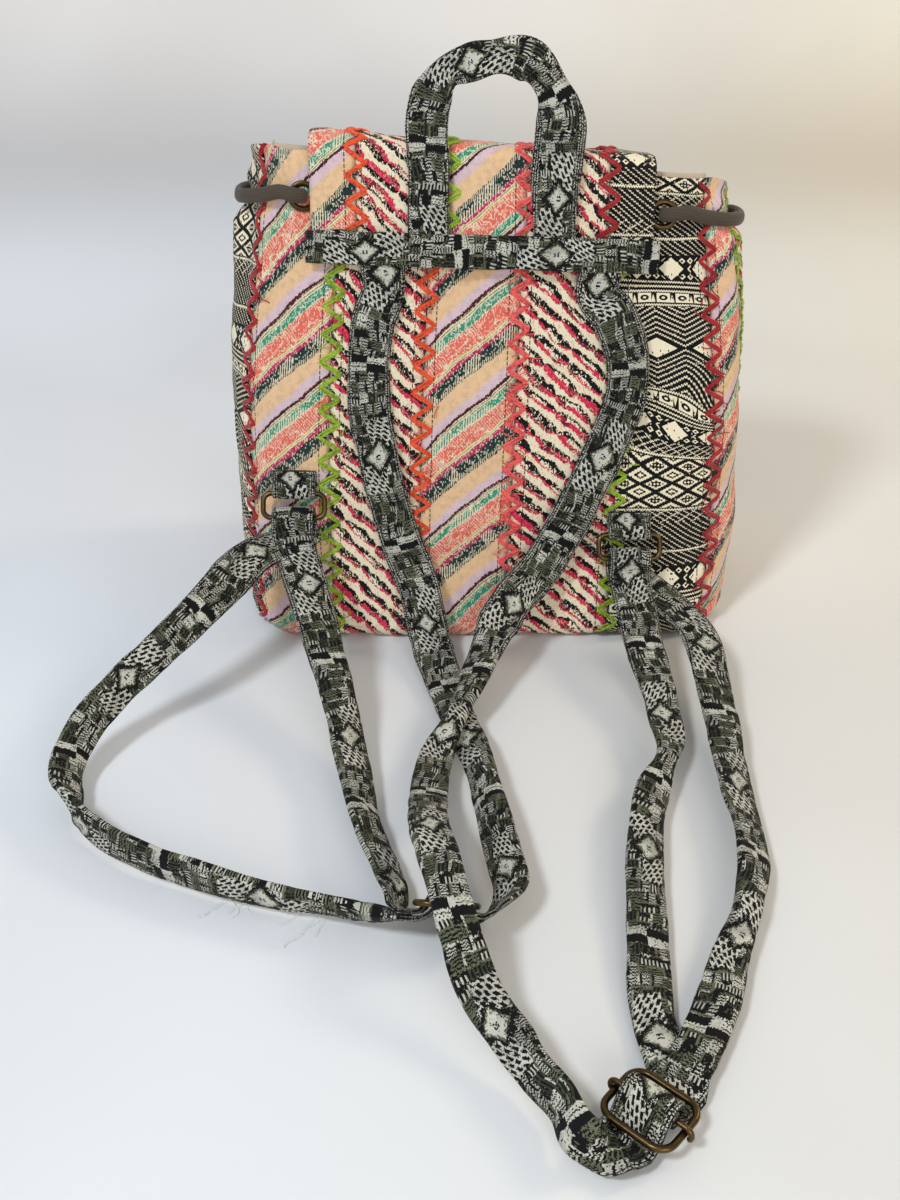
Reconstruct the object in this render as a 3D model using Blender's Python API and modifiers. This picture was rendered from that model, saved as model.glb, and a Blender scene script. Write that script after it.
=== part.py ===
"""A small patchwork drawstring backpack, standing on its base with both shoulder straps laid out in front.

Frame: metres, +Z up, the origin on the floor under the middle of the base.
The panel that is worn against the back faces -Y, and the shoulder straps lie towards -Y.
"""

import math

import bmesh
import bpy
from mathutils import Vector

# Bag body
PANEL_LENGTH = 0.2385
PANEL_LEAN = math.radians(12.0)
BASE_WIDTH = 0.257
BELLY_WIDTH = 0.264
MOUTH_WIDTH = 0.243
BASE_DEPTH = 0.120
CINCH_DEPTH = 0.046
RUFFLE_FLARE = 0.005
CORD_WAIST = 0.006
MOUTH_TILT = 0.28
BASE_CORNER = 0.034
MOUTH_CORNER = 0.019
BOTTOM_ROUND = 0.013
REAR_BULGE = 0.004
FRONT_BULGE = 0.010
FOOT_BULGE = 0.0065
SLUMP = 0.072
CINCH_BELOW_MOUTH = 0.019

# Patchwork
STRIP_COUNT = 15
STRIP_WIDTH = 0.0467
SEAM_REFERENCE = -0.030
SEAM_DRIFT = {-1: -0.0034, 0: -0.006, 1: -0.008, 2: -0.001, 3: 0.005}
CLOTH = 0.0012
LINING = 0.0006
PLEAT_HEIGHT = 0.005
SMOOTH_REAR = 0.100

# Closure
EYELET_LEFT_X = -0.0894
EYELET_RIGHT_X = 0.0821
EYELET_HOLE = 0.0045
EYELET_FLANGE = 0.00725
EYELET_WALL = 0.0005
EYELET_DOME = 0.0011
EYELET_LAND = 0.0085
CORD_DIAMETER = 0.0055
CORD_TAIL = 0.030

# Flap
FLAP_CENTRE = -0.0042
FLAP_EDGE_STRIP_LEFT = 0.0220
FLAP_STRIP_2 = 0.0440
FLAP_STRIP_3 = 0.0366
FLAP_STRIP_4 = 0.0390
FLAP_EDGE_STRIP_RIGHT = 0.0220
FLAP_RISE = 0.008
FLAP_DROP = 0.108
FLAP_CORNER = 0.030
FLAP_STANDOFF = 0.004
SNAP_RADIUS = 0.0075
SNAP_THICKNESS = 0.0018

# Webbing made of folded tapestry cloth
STRAP_WIDTH = 0.021
STRAP_THICKNESS = 0.0024
BAND_BELOW_MOUTH = 0.040
BAND_HEIGHT = 0.0142
BAND_THICKNESS = 0.0018
BAND_OVERHANG = 0.0025
STRAP_EXIT = 0.052
HANDLE_SPACING = 0.060
HANDLE_REACH = 0.0858
HANDLE_THICKNESS = 0.0026
HANDLE_WIDTH = 0.020

# Rings and sliders, bent from round wire
WIRE_RADIUS = 0.00135
RING_WIDTH = 0.034
RING_HEIGHT = 0.015
RING_CORNER = 0.004
RING_TILT = math.radians(21.0)
RING_STANDOFF = 0.0052
TAB_WIDTH = 0.022
TAB_THICKNESS = 0.0012
TAB_LENGTH = 0.011
SLIDER_WIDTH = 0.030
SLIDER_HEIGHT = 0.026
SLIDER_CORNER = 0.006
SLIDER_BAR_RADIUS = 0.0011
LEFT_TAB = (-0.0985, 0.0800)
RIGHT_TAB = (0.0720, 0.0585)
LEFT_SLIDER = Vector((-0.0208, -0.2737, 0.0150))
RIGHT_SLIDER = Vector((0.0479, -0.3634, 0.0088))

# Clearances
GAP = 0.0003
SEAM_GAP = 0.0006
LINING_EASE = 0.0004
WIRE_CLEARANCE = 0.0004
SWING_CLEARANCE = 0.0029
LIFT_CLEARANCE = 0.0021
HOLE_CLEARANCE = 0.0004
FLOOR_CLEARANCE = 0.0003

# Grid fineness
STRIP_COLUMNS = 6
STRAP_STEP = 0.011

HALF_ROUND = STRIP_COUNT * STRIP_WIDTH / 2
CINCH = PANEL_LENGTH - CINCH_BELOW_MOUTH
BAND_CENTRE = PANEL_LENGTH - BAND_BELOW_MOUTH
UP = Vector((0, 0, 1))

COLOURS = {
    "stripe_cloth": (0.90, 0.60, 0.47),
    "dash_cloth": (0.86, 0.70, 0.64),
    "ikat_cloth": (0.46, 0.45, 0.42),
    "tapestry_webbing": (0.20, 0.21, 0.19),
    "lining_cloth": (0.72, 0.66, 0.56),
    "antique_brass": (0.17, 0.13, 0.08),
    "cord": (0.11, 0.10, 0.10),
    "snap_steel": (0.42, 0.40, 0.37),
}
METALS = ("antique_brass", "snap_steel")


def clear_scene():
    for obj in list(bpy.data.objects):
        bpy.data.objects.remove(obj, do_unlink=True)


def new_collection(name):
    collection = bpy.data.collections.new(name)
    bpy.context.scene.collection.children.link(collection)
    return collection


def material(node, look):
    mat = bpy.data.materials.new(node)
    mat.use_nodes = True
    shader = mat.node_tree.nodes["Principled BSDF"]
    shader.inputs["Base Color"].default_value = (*COLOURS[look], 1)
    shader.inputs["Roughness"].default_value = 0.35 if look in METALS else 0.85
    shader.inputs["Metallic"].default_value = 1.0 if look in METALS else 0.0
    return mat


def add_object(name, data, look, collection):
    obj = bpy.data.objects.new(name, data)
    collection.objects.link(obj)
    if look:
        data.materials.append(material(name, look))
    return obj


def grid_mesh(name, rows, wrap=False):
    """An open surface through rows of points. Every row has as many points."""
    bm = bmesh.new()
    lines = [[bm.verts.new(point) for point in row] for row in rows]
    for low, high in zip(lines, lines[1:]):
        count = len(low)
        for i in range(count if wrap else count - 1):
            j = (i + 1) % count
            bm.faces.new((low[i], low[j], high[j], high[i]))
    mesh = bpy.data.meshes.new(name)
    bm.to_mesh(mesh)
    bm.free()
    return mesh


def solidify(obj, thickness):
    shell = obj.modifiers.new("cloth_thickness", "SOLIDIFY")
    shell.thickness = thickness
    shell.offset = 0
    shell.use_even_offset = True
    return shell


def smooth_shade(obj):
    obj.data.shade_smooth()


def ease(x):
    x = min(1.0, max(0.0, x))
    return x * x * (3 - 2 * x)


def spread(height):
    """Half the bag's width at a height, before the cord draws it in."""
    share = height / PANEL_LENGTH
    half_width = MOUTH_WIDTH / 2 + (BELLY_WIDTH - MOUTH_WIDTH) / 2 * (1 - ease((share - 0.4) / 0.6))
    return half_width - (BELLY_WIDTH - BASE_WIDTH) / 2 * (1 - ease(share / 0.25))


def envelope(height):
    """Half width, half depth, corner radius and rear face of the bag's section at a height along the panel."""
    share = height / PANEL_LENGTH
    half_width = spread(height) - CORD_WAIST * (1 - ease(abs(height - CINCH) / 0.016))
    drawn = ease(min(height / (CINCH - EYELET_LAND), 1.0) ** 1.6)
    depth = BASE_DEPTH + (CINCH_DEPTH - BASE_DEPTH) * drawn
    depth += RUFFLE_FLARE * ease((height - CINCH - EYELET_LAND) / (CINCH_BELOW_MOUTH - EYELET_LAND) / 2) * 2
    corner = BASE_CORNER + (MOUTH_CORNER - BASE_CORNER) * drawn
    if height < BOTTOM_ROUND:
        tuck = BOTTOM_ROUND - math.sqrt(BOTTOM_ROUND**2 - (BOTTOM_ROUND - height) ** 2)
    else:
        tuck = 0.0
    rear = -BASE_DEPTH / 2 + height * math.sin(PANEL_LEAN) + tuck
    return half_width - tuck, depth / 2 - tuck, max(corner - tuck, 0.004), rear


def section(half_width, half_depth, corner, run):
    """Point and outward normal of a rounded rectangle, a run along it from the middle of its -Y side."""
    side = -1 if run < 0 else 1
    run = abs(run)
    flat = half_width - corner
    wall = 2 * (half_depth - corner)
    turn = corner * math.pi / 2
    if run <= flat:
        x, y, nx, ny = run, -half_depth, 0, -1
    elif run <= flat + turn:
        angle = (run - flat) / corner
        nx, ny = math.sin(angle), -math.cos(angle)
        x, y = flat + corner * nx, corner - half_depth + corner * ny
    elif run <= flat + turn + wall:
        x, y, nx, ny = half_width, run - flat - turn + corner - half_depth, 1, 0
    elif run <= flat + 2 * turn + wall:
        angle = (run - flat - turn - wall) / corner
        nx, ny = math.cos(angle), math.sin(angle)
        x, y = flat + corner * nx, half_depth - corner + corner * ny
    else:
        x, y, nx, ny = max(0.0, 2 * flat + 2 * turn + wall - run), half_depth, 0, 1
    return side * x, y, side * nx, ny


def half_girth(half_width, half_depth, corner):
    return 2 * (half_width - corner) + 2 * (half_depth - corner) + math.pi * corner


def belly(height):
    return math.sin(math.pi * min(height, CINCH) / CINCH) ** 2


def slump(x, back, height):
    """How much the soft bag sinks: at its right and at its front, and it stands up at its left."""
    return -(SLUMP * x + MOUTH_TILT * back) * (height / PANEL_LENGTH) ** 4


def pleats(girth, height):
    """Height of the gathers at a place round the bag: none on the rear and round the eyelets and the snap."""
    gathered = ease((abs(girth) - SMOOTH_REAR) / 0.030) * min(height / CINCH, 1.0) ** 3
    gathered *= 1 - 0.7 * (1 - ease(abs(height - CINCH) / 0.014))
    for place in EYELET_PLACES:
        gathered *= ease((abs(girth - place) - 0.0125) / 0.012)
    gathered *= ease((HALF_ROUND - abs(girth) - 0.010) / 0.010)
    return PLEAT_HEIGHT * gathered


def wrap_girth(girth):
    return (girth + HALF_ROUND) % (2 * HALF_ROUND) - HALF_ROUND


def flat_run(girth, height):
    """Cloth measured round the bag, turned into a run along the drawn-in section at that height."""
    half_width, half_depth, corner, rear = envelope(height)
    scale = spread(height) / (BASE_WIDTH / 2)
    edge = SMOOTH_REAR * scale
    if abs(girth) <= SMOOTH_REAR:
        return girth * scale
    beyond = (abs(girth) - SMOOTH_REAR) / (HALF_ROUND - SMOOTH_REAR)
    run = edge + beyond * (half_girth(half_width, half_depth, corner) - edge)
    return math.copysign(run, girth)


def wall_point(girth, height, out=0.0, pleated=True):
    girth = wrap_girth(girth)
    half_width, half_depth, corner, rear = envelope(height)
    x, y, nx, ny = section(half_width, half_depth, corner, flat_run(girth, height))
    if pleated:
        out += pleats(girth, height) * math.sin(2 * math.pi * (girth - SEAM_REFERENCE) / STRIP_WIDTH)
    across = max(0.0, 1 - (x / half_width) ** 2)
    z = height * math.cos(PANEL_LEAN) + slump(x, max(0.0, half_depth + y), height)
    y += belly(height) * across * (FRONT_BULGE if ny > 0 else -REAR_BULGE) * abs(ny)
    y += ny * FOOT_BULGE * (1 - ease(height / 0.05))
    x += nx * out
    y += ny * out
    return Vector((x, rear + half_depth + y, z))


def wall_normal(girth, height):
    step = 0.001
    along = wall_point(girth + step, height, pleated=False) - wall_point(girth - step, height, pleated=False)
    up = wall_point(girth, height + step, pleated=False) - wall_point(girth, height - step, pleated=False)
    return along.cross(up).normalized()


def off_wall(girth, height, out):
    """A point this far off the middle of the patchwork, measured square to it."""
    return wall_point(girth, height, pleated=False) + wall_normal(girth, height) * out


def off_panel(x, height, out):
    """The same on the rear panel, by the distance from its centre line."""
    return off_wall(x * (BASE_WIDTH / 2) / spread(height), height, out)


def seam(number):
    return SEAM_REFERENCE + number * STRIP_WIDTH


def drift(number, height):
    """How far a seam of the rear panel strays from straight towards the foot of the panel."""
    return SEAM_DRIFT.get(number, 0.0) * (1 - height / PANEL_LENGTH)


EYELET_LEFT = EYELET_LEFT_X * (BASE_WIDTH / 2) / spread(CINCH)
EYELET_RIGHT = EYELET_RIGHT_X * (BASE_WIDTH / 2) / spread(CINCH)
FRONT_LEFT_OUTER = seam(-6) + STRIP_WIDTH / 2
FRONT_LEFT_INNER = seam(-7) + STRIP_WIDTH / 2
FRONT_RIGHT_INNER = seam(7) + STRIP_WIDTH / 2
FRONT_RIGHT_OUTER = seam(6) + STRIP_WIDTH / 2
EYELET_PLACES = (
    EYELET_LEFT,
    EYELET_RIGHT,
    FRONT_LEFT_OUTER,
    FRONT_RIGHT_OUTER,
    FRONT_LEFT_INNER,
    FRONT_RIGHT_INNER,
)
EYELET_NAMES = ("rear_left", "rear_right", "side_left", "side_right", "front_left", "front_right")

WALL_ROWS = (0.0012, 0.0035, 0.0075, 0.013, 0.03, 0.06, 0.09, 0.12, 0.145, 0.165, 0.185, 0.2)
MOUTH_ROWS = (CINCH - EYELET_LAND, CINCH, (CINCH + PANEL_LENGTH) / 2, PANEL_LENGTH)


def wall_heights():
    return [row for row in WALL_ROWS if row < MOUTH_ROWS[0] - 0.003] + list(MOUTH_ROWS)


def cylinder_cutter(name, place, axis, radius, collection):
    bm = bmesh.new()
    bmesh.ops.create_cone(bm, cap_ends=True, segments=16, radius1=radius, radius2=radius, depth=0.02)
    mesh = bpy.data.meshes.new(name)
    bm.to_mesh(mesh)
    bm.free()
    obj = bpy.data.objects.new(name, mesh)
    collection.objects.link(obj)
    obj.location = place
    obj.rotation_mode = "QUATERNION"
    obj.rotation_quaternion = axis.to_track_quat("Z", "X")
    obj.hide_render = True
    obj.display_type = "WIRE"
    return obj


def cut(obj, cutter):
    hole = obj.modifiers.new("hole_" + cutter.name, "BOOLEAN")
    hole.operation = "DIFFERENCE"
    hole.object = cutter


KINDS = ("stripe_cloth", "dash_cloth", "stripe_cloth", "dash_cloth", "ikat_cloth")


def strip_kind(number):
    """The cloth of the strip that starts at a seam. The order is stripe, dash, stripe, dash, ikat."""
    return KINDS[(number + 2) % len(KINDS)]


def make_strips(parts, eyelet_cutters):
    for index in range(STRIP_COUNT):
        number = index - 6
        low, high = seam(number) + SEAM_GAP / 2, seam(number + 1) - SEAM_GAP / 2
        rows = []
        for height in wall_heights():
            first = low + drift(number, height)
            last = high + drift(number + 1, height)
            columns = [first + (last - first) * i / STRIP_COLUMNS for i in range(STRIP_COLUMNS + 1)]
            rows.append([wall_point(girth, height) for girth in columns])
        look = strip_kind(number)
        name = f"body_strip_{index + 1:02d}_{look.split('_')[0]}"
        obj = add_object(name, grid_mesh(name, rows), look, parts)
        solidify(obj, CLOTH)
        for place, cutter in zip(EYELET_PLACES, eyelet_cutters):
            if abs(wrap_girth(place - (low + high) / 2)) < STRIP_WIDTH / 2 + EYELET_HOLE:
                cut(obj, cutter)
        smooth_shade(obj)


def outline_at(height, inset, count):
    """The bag's section at a height, drawn in by an inset, as points round it."""
    half_width, half_depth, corner, rear = envelope(height)
    sizes = (half_width - inset, half_depth - inset, max(corner - inset, 0.003))
    length = half_girth(*sizes)
    points = []
    for i in range(count):
        x, y, nx, ny = section(*sizes, length * (2 * i / count - 1))
        points.append((x, y + rear + half_depth))
    return points


def make_base(parts):
    inset = CLOTH / 2 + GAP + 0.0004
    outline = outline_at(WALL_ROWS[0], inset, 48)
    bm = bmesh.new()
    bmesh.ops.contextual_create(bm, geom=[bm.verts.new((x, y, 0)) for x, y in outline])
    bmesh.ops.recalc_face_normals(bm, faces=bm.faces)
    face = next(iter(bm.faces))
    if face.normal.z < 0:
        bmesh.ops.reverse_faces(bm, faces=[face])
    mesh = bpy.data.meshes.new("base_panel")
    bm.to_mesh(mesh)
    bm.free()
    obj = add_object("base_panel", mesh, "stripe_cloth", parts)
    shell = solidify(obj, BASE_THICKNESS)
    shell.offset = 1


BASE_THICKNESS = 0.0016
LINING_INSIDE = CLOTH / 2 + GAP + LINING / 2


def make_lining(parts, eyelet_cutters):
    """A smooth bag inside the patchwork, closed at the bottom and open at the mouth."""
    heights = [row for row in wall_heights() if row > 0.007]
    girths = []
    for number in range(-7, 8):
        girths += [seam(number), seam(number) + STRIP_WIDTH / 3, seam(number) + STRIP_WIDTH * 2 / 3]
    for place in (EYELET_LEFT, EYELET_RIGHT):
        girths += [place - 0.009, place + 0.009]
    girths = sorted(wrap_girth(girth) for girth in girths)
    count = len(girths)
    rows = []
    for height in heights:
        row = []
        for girth in girths:
            inside = LINING_INSIDE / math.cos(PANEL_LEAN) + 1.5 * pleats(girth, height)
            inside += LINING_EASE * (1 - ease((height - BOTTOM_ROUND) / 0.02))
            if abs(girth) > SMOOTH_REAR:
                inside += LINING_EASE * (1 - ease((height - CINCH + 0.03) / 0.01))
                inside += 3 * LINING_EASE * ease((height - CINCH - 0.004) / 0.01)
            row.append(wall_point(girth, height, -inside, pleated=False))
        rows.append(row)
    floor_height = BASE_THICKNESS + GAP + LINING / 2
    floor_row = []
    for girth in girths:
        point = wall_point(girth, WALL_ROWS[0], -LINING_INSIDE - 0.003, pleated=False)
        floor_row.append(Vector((point.x, point.y, floor_height)))
    rows.insert(0, floor_row)
    bm = bmesh.new()
    lines = [[bm.verts.new(point) for point in row] for row in rows]
    for low, high in zip(lines, lines[1:]):
        for i in range(count):
            j = (i + 1) % count
            bm.faces.new((low[i], low[j], high[j], high[i]))
    bm.faces.new(list(reversed(lines[0])))
    bmesh.ops.triangulate(bm, faces=[face for face in bm.faces if len(face.verts) > 4])
    mesh = bpy.data.meshes.new("lining_bag")
    bm.to_mesh(mesh)
    bm.free()
    obj = add_object("lining_bag", mesh, "lining_cloth", parts)
    solidify(obj, LINING)
    for cutter in eyelet_cutters:
        cut(obj, cutter)
    smooth_shade(obj)


def turned(name, profile, look, collection, steps=20):
    """A turned ring: a closed profile of (radius, height) points, up its outer side, swept round Z."""
    mesh = bpy.data.meshes.new(name)
    bm = bmesh.new()
    verts = [bm.verts.new((radius, 0, height)) for radius, height in reversed(profile)]
    for first, second in zip(verts, verts[1:] + verts[:1]):
        bm.edges.new((first, second))
    bm.to_mesh(mesh)
    bm.free()
    obj = add_object(name, mesh, look, collection)
    screw = obj.modifiers.new("turn", "SCREW")
    screw.axis = "Z"
    screw.steps = steps
    screw.render_steps = steps
    screw.use_merge_vertices = True
    screw.merge_threshold = 0.00001
    smooth_shade(obj)
    return obj


def place_on_wall(obj, girth, height, out):
    obj.location = off_wall(girth, height, out)
    obj.rotation_mode = "QUATERNION"
    obj.rotation_quaternion = wall_normal(girth, height).to_track_quat("Z", "X")


def eyelet_profile():
    """The flange lies on the cloth and its dome rises to the hole, where the barrel goes down through it."""
    low = -(LINING_INSIDE + LINING / 2 + 2 * GAP + EYELET_WASHER)
    seat = CLOTH / 2 + GAP
    hole, barrel, flange = EYELET_HOLE, EYELET_HOLE + EYELET_WALL, EYELET_FLANGE
    return (
        (hole, seat + EYELET_DOME * 0.8),
        (hole, low),
        (barrel, low),
        (barrel, seat),
        (flange, seat),
        (flange, seat + EYELET_WALL),
        ((barrel + flange) / 2, seat + EYELET_DOME),
    )


EYELET_WASHER = 0.0008


def washer_profile():
    top = -(LINING_INSIDE + LINING / 2 + 2 * GAP)
    inner = EYELET_HOLE + EYELET_WALL + GAP
    return (
        (inner, top),
        (inner, top - EYELET_WASHER),
        (EYELET_FLANGE * 0.88, top - EYELET_WASHER),
        (EYELET_FLANGE * 0.88, top),
    )


def make_eyelets(parts):
    for name, place in zip(EYELET_NAMES, EYELET_PLACES):
        eyelet = turned(f"eyelet_{name}", eyelet_profile(), "antique_brass", parts)
        place_on_wall(eyelet, place, CINCH, 0)
        washer = turned(f"eyelet_washer_{name}", washer_profile(), "antique_brass", parts)
        place_on_wall(washer, place, CINCH, 0)


def make_eyelet_cutters(cutters):
    made = []
    for name, place in zip(EYELET_NAMES, EYELET_PLACES):
        radius = EYELET_HOLE + EYELET_WALL + HOLE_CLEARANCE
        centre = off_wall(place, CINCH, 0)
        cutter = cylinder_cutter(f"cut_{name}", centre, wall_normal(place, CINCH), radius, cutters)
        made.append(cutter)
    return made


def catmull(points, step):
    """Points along a smooth curve through the given vectors, no further apart than a step."""
    result = []
    for i in range(len(points) - 1):
        before = points[max(i - 1, 0)]
        start, end = points[i], points[i + 1]
        after = points[min(i + 2, len(points) - 1)]
        length = (end - start).length
        count = max(1, math.ceil(length / step))
        tangent_in = (end - before) * (length / max((end - before).length, 1e-9))
        tangent_out = (after - start) * (length / max((after - start).length, 1e-9))
        for k in range(count):
            t = k / count
            a = 2 * t**3 - 3 * t**2 + 1
            b = t**3 - 2 * t**2 + t
            c = -2 * t**3 + 3 * t**2
            d = t**3 - t**2
            result.append(a * start + b * tangent_in + c * end + d * tangent_out)
    result.append(points[-1].copy())
    return result


def tube(name, points, radius, look, collection, resolution=2, cyclic=False):
    curve = bpy.data.curves.new(name, "CURVE")
    curve.dimensions = "3D"
    curve.bevel_depth = radius
    curve.bevel_resolution = resolution
    curve.use_fill_caps = not cyclic
    spline = curve.splines.new("POLY")
    spline.points.add(len(points) - 1)
    for slot, point in zip(spline.points, points):
        slot.co = (*point, 1)
    spline.use_cyclic_u = cyclic
    return add_object(name, curve, look, collection)


def cord_side(side, rear, outer, inner):
    """One half of the drawstring's route, from the middle of the rear panel to its end under the flap."""
    radius = CORD_DIAMETER / 2
    inside = -(LINING_INSIDE + LINING / 2 + EYELET_WASHER + 3 * GAP + radius)
    lie = CLOTH / 2 + EYELET_DOME + 3 * GAP + radius
    hump = lie + 0.0018
    route = [
        (rear - side * 0.018, inside - 0.001),
        (rear - side * 0.006, inside - 0.001),
        (rear, inside + radius),
        (rear, lie - 0.0012),
        (rear + side * 0.0045, hump),
        (rear + side * 0.012, lie + 0.001),
    ]
    steps = 9
    start, end = rear + side * 0.022, outer - side * 0.022
    for i in range(steps + 1):
        girth = start + (end - start) * i / steps
        route.append((girth, CLOTH / 2 + 4 * GAP + radius + pleats(girth, CINCH)))
    middle = (outer + inner) / 2
    route += [
        (outer - side * 0.012, lie + 0.001),
        (outer - side * 0.0045, hump),
        (outer, lie - 0.0012),
        (outer, inside + radius),
        (outer + side * 0.006, inside - 0.0015),
        (middle, inside - 0.002 - pleats(middle, CINCH)),
        (inner - side * 0.006, inside - 0.0015),
        (inner, inside + radius),
        (inner, lie - 0.0012),
        (inner + side * 0.0040, hump),
    ]
    return [off_wall(girth, CINCH, out) for girth, out in route]


def make_drawstring(parts):
    """One cord: inside the rear, out round both sides, in and out at the front, its ends crossed and hanging."""
    left = cord_side(-1, EYELET_LEFT, FRONT_LEFT_OUTER, FRONT_LEFT_INNER)
    right = cord_side(1, EYELET_RIGHT, FRONT_RIGHT_OUTER, FRONT_RIGHT_INNER)
    radius = CORD_DIAMETER / 2
    low = CLOTH / 2 + 4 * GAP + radius
    high = low + CORD_DIAMETER + GAP
    for route, side, level in ((left, -1, high), (right, 1, low)):
        cross = side * HALF_ROUND
        route.append(off_wall(cross - side * 0.004, CINCH - 0.003, level))
        route.append(off_wall(cross + side * 0.005, CINCH - 0.008, level))
        route.append(off_wall(cross + side * 0.009, CINCH - 0.018, low + 0.001))
        route.append(off_wall(cross + side * 0.010, CINCH - 0.010 - CORD_TAIL, low + 0.0015))
    points = list(reversed(left)) + right
    tube("drawstring", catmull(points, 0.012), radius, "cord", parts, 2)


FLAP_STRIPS = (
    FLAP_EDGE_STRIP_LEFT,
    FLAP_STRIP_2,
    FLAP_STRIP_3,
    FLAP_STRIP_4,
    FLAP_EDGE_STRIP_RIGHT,
)
FLAP_KINDS = ("stripe_cloth", "dash_cloth", "stripe_cloth", "dash_cloth", "ikat_cloth")
FLAP_WIDTH = sum(FLAP_STRIPS)
FLAP_LINING_OUT = CLOTH / 2 + GAP + EYELET_DOME + GAP + LINING / 2
FLAP_OUT = FLAP_LINING_OUT + LINING / 2 + 2 * GAP + CLOTH / 2
FLAP_ROOT = BAND_CENTRE - BAND_HEIGHT / 2 + 0.001
ON_FLAP = FLAP_OUT + CLOTH / 2 + GAP


def front_point(x, height, out):
    """A point in front of the drawn-in front wall, without its gathers."""
    half_width, half_depth, corner, rear = envelope(height)
    across = max(0.0, 1 - (x / half_width) ** 2)
    y = rear + 2 * half_depth + belly(height) * across * FRONT_BULGE + out
    return Vector((x, y, height * math.cos(PANEL_LEAN) + slump(x, 2 * half_depth, height)))


def flap_route(x):
    """The flap's run at one place across it: up the rear, over the mouth and down the front."""
    rise = Vector((0, math.sin(PANEL_LEAN), math.cos(PANEL_LEAN)))
    rear_top = off_panel(x, PANEL_LENGTH, FLAP_OUT) + rise * 0.003
    front_top = front_point(x, PANEL_LENGTH - 0.002, PLEAT_HEIGHT + FLAP_STANDOFF)
    foot = front_point(x, PANEL_LENGTH - FLAP_DROP, SNAP_STACK + 0.001)
    span = front_top - rear_top
    route = [off_panel(x, FLAP_ROOT + (PANEL_LENGTH - FLAP_ROOT) * i / 4, FLAP_OUT) for i in range(5)]
    route.append(rear_top)
    route.append(rear_top + span * 0.08 + UP * FLAP_RISE * 0.55)
    route.append(rear_top + span * 0.30 + UP * FLAP_RISE)
    route.append(rear_top + span * 0.62 + UP * FLAP_RISE)
    route.append(rear_top + span * 0.86 + UP * FLAP_RISE * 0.9)
    route.append(front_top + UP * FLAP_RISE * 0.4)
    for i in range(1, 6):
        drop = i / 5
        hang = front_top.lerp(foot, drop)
        clear = front_point(x, PANEL_LENGTH - FLAP_DROP * drop, SNAP_STACK + 0.001 * (2 - drop))
        route.append(Vector((x, max(hang.y, clear.y), clear.z)))
    return route


SNAP_STACK = CLOTH / 2 + LINING / 2 + 2 * SNAP_THICKNESS + 4 * GAP


def flap_line(x, out):
    """The flap's profile at a place across it, moved square to itself, and cut short at its round corners."""
    route = flap_route(x)
    points = catmull(route, 0.004)
    moved = []
    for i, point in enumerate(points):
        ahead = points[min(i + 1, len(points) - 1)] - points[max(i - 1, 0)]
        normal = Vector((0, -ahead.z, ahead.y)).normalized()
        moved.append(point + normal * (out - FLAP_OUT))
    aside = abs(x - FLAP_CENTRE) - (FLAP_WIDTH / 2 - FLAP_CORNER)
    lift = FLAP_CORNER - math.sqrt(FLAP_CORNER**2 - min(aside, FLAP_CORNER * 0.98) ** 2) if aside > 0 else 0.0
    return resample(moved, (route[5], route[10]), FLAP_CORNER, lift)


def resample(points, bends, tail, lift):
    """Points along a line, close together where it goes over the mouth. The last ones, over its tail, close up
    so that it ends short by the lift."""
    lengths = [0.0]
    for a, b in zip(points, points[1:]):
        lengths.append(lengths[-1] + (b - a).length)
    total = lengths[-1]
    rear, front = [lengths[min(range(len(points)), key=lambda i: (points[i] - bend).length)] for bend in bends]
    wanted = [rear * share for share in (0, 0.4, 0.75, 0.92, 1)]
    wanted += [rear + (front - rear) * share for share in (0.1, 0.22, 0.36, 0.55, 0.75, 0.88, 1)]
    wanted += [front + (total - tail - front) * share for share in (0.25, 0.5, 0.75)]
    wanted += [total - tail + (tail - lift) * k / 3 for k in range(4)]
    result = []
    for want in wanted:
        i = 1
        while i < len(points) - 1 and lengths[i] < want:
            i += 1
        part = (want - lengths[i - 1]) / max(lengths[i] - lengths[i - 1], 1e-9)
        result.append(points[i - 1].lerp(points[i], min(part, 1.0)))
    return result


def make_flap(parts):
    left = FLAP_CENTRE - FLAP_WIDTH / 2
    for index, (width, look) in enumerate(zip(FLAP_STRIPS, FLAP_KINDS)):
        low, high = left + SEAM_GAP / 2, left + width - SEAM_GAP / 2
        left += width
        columns = 4
        lines = [flap_line(low + (high - low) * i / columns, FLAP_OUT) for i in range(columns + 1)]
        name = f"flap_strip_{index + 1}_{look.split('_')[0]}"
        obj = add_object(name, grid_mesh(name, list(zip(*lines))), look, parts)
        solidify(obj, CLOTH)
        smooth_shade(obj)
    edge = 0.0015
    low = FLAP_CENTRE - FLAP_WIDTH / 2 + edge
    span = FLAP_WIDTH - 2 * edge
    columns = 12
    lines = [flap_line(low + span * i / columns, FLAP_LINING_OUT) for i in range(columns + 1)]
    obj = add_object("flap_lining", grid_mesh("flap_lining", list(zip(*lines))), "lining_cloth", parts)
    solidify(obj, LINING)
    smooth_shade(obj)


def make_snap(parts):
    """A magnetic snap: one half under the flap's edge, the other on the front of the bag."""
    height = PANEL_LENGTH - FLAP_DROP * 0.86
    wall = wall_normal(HALF_ROUND, height)
    for name, out in (("snap_socket", 0.0), ("snap_stud", SNAP_THICKNESS + GAP)):
        low = CLOTH / 2 + GAP + out
        profile = (
            (0.0015, low),
            (SNAP_RADIUS, low),
            (SNAP_RADIUS, low + SNAP_THICKNESS * 0.6),
            (SNAP_RADIUS * 0.85, low + SNAP_THICKNESS),
            (0.0015, low + SNAP_THICKNESS),
        )
        obj = turned(name, profile, "snap_steel", parts, 16)
        obj.location = off_wall(HALF_ROUND, height, 0)
        obj.rotation_mode = "QUATERNION"
        obj.rotation_quaternion = wall.to_track_quat("Z", "X")


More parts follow.
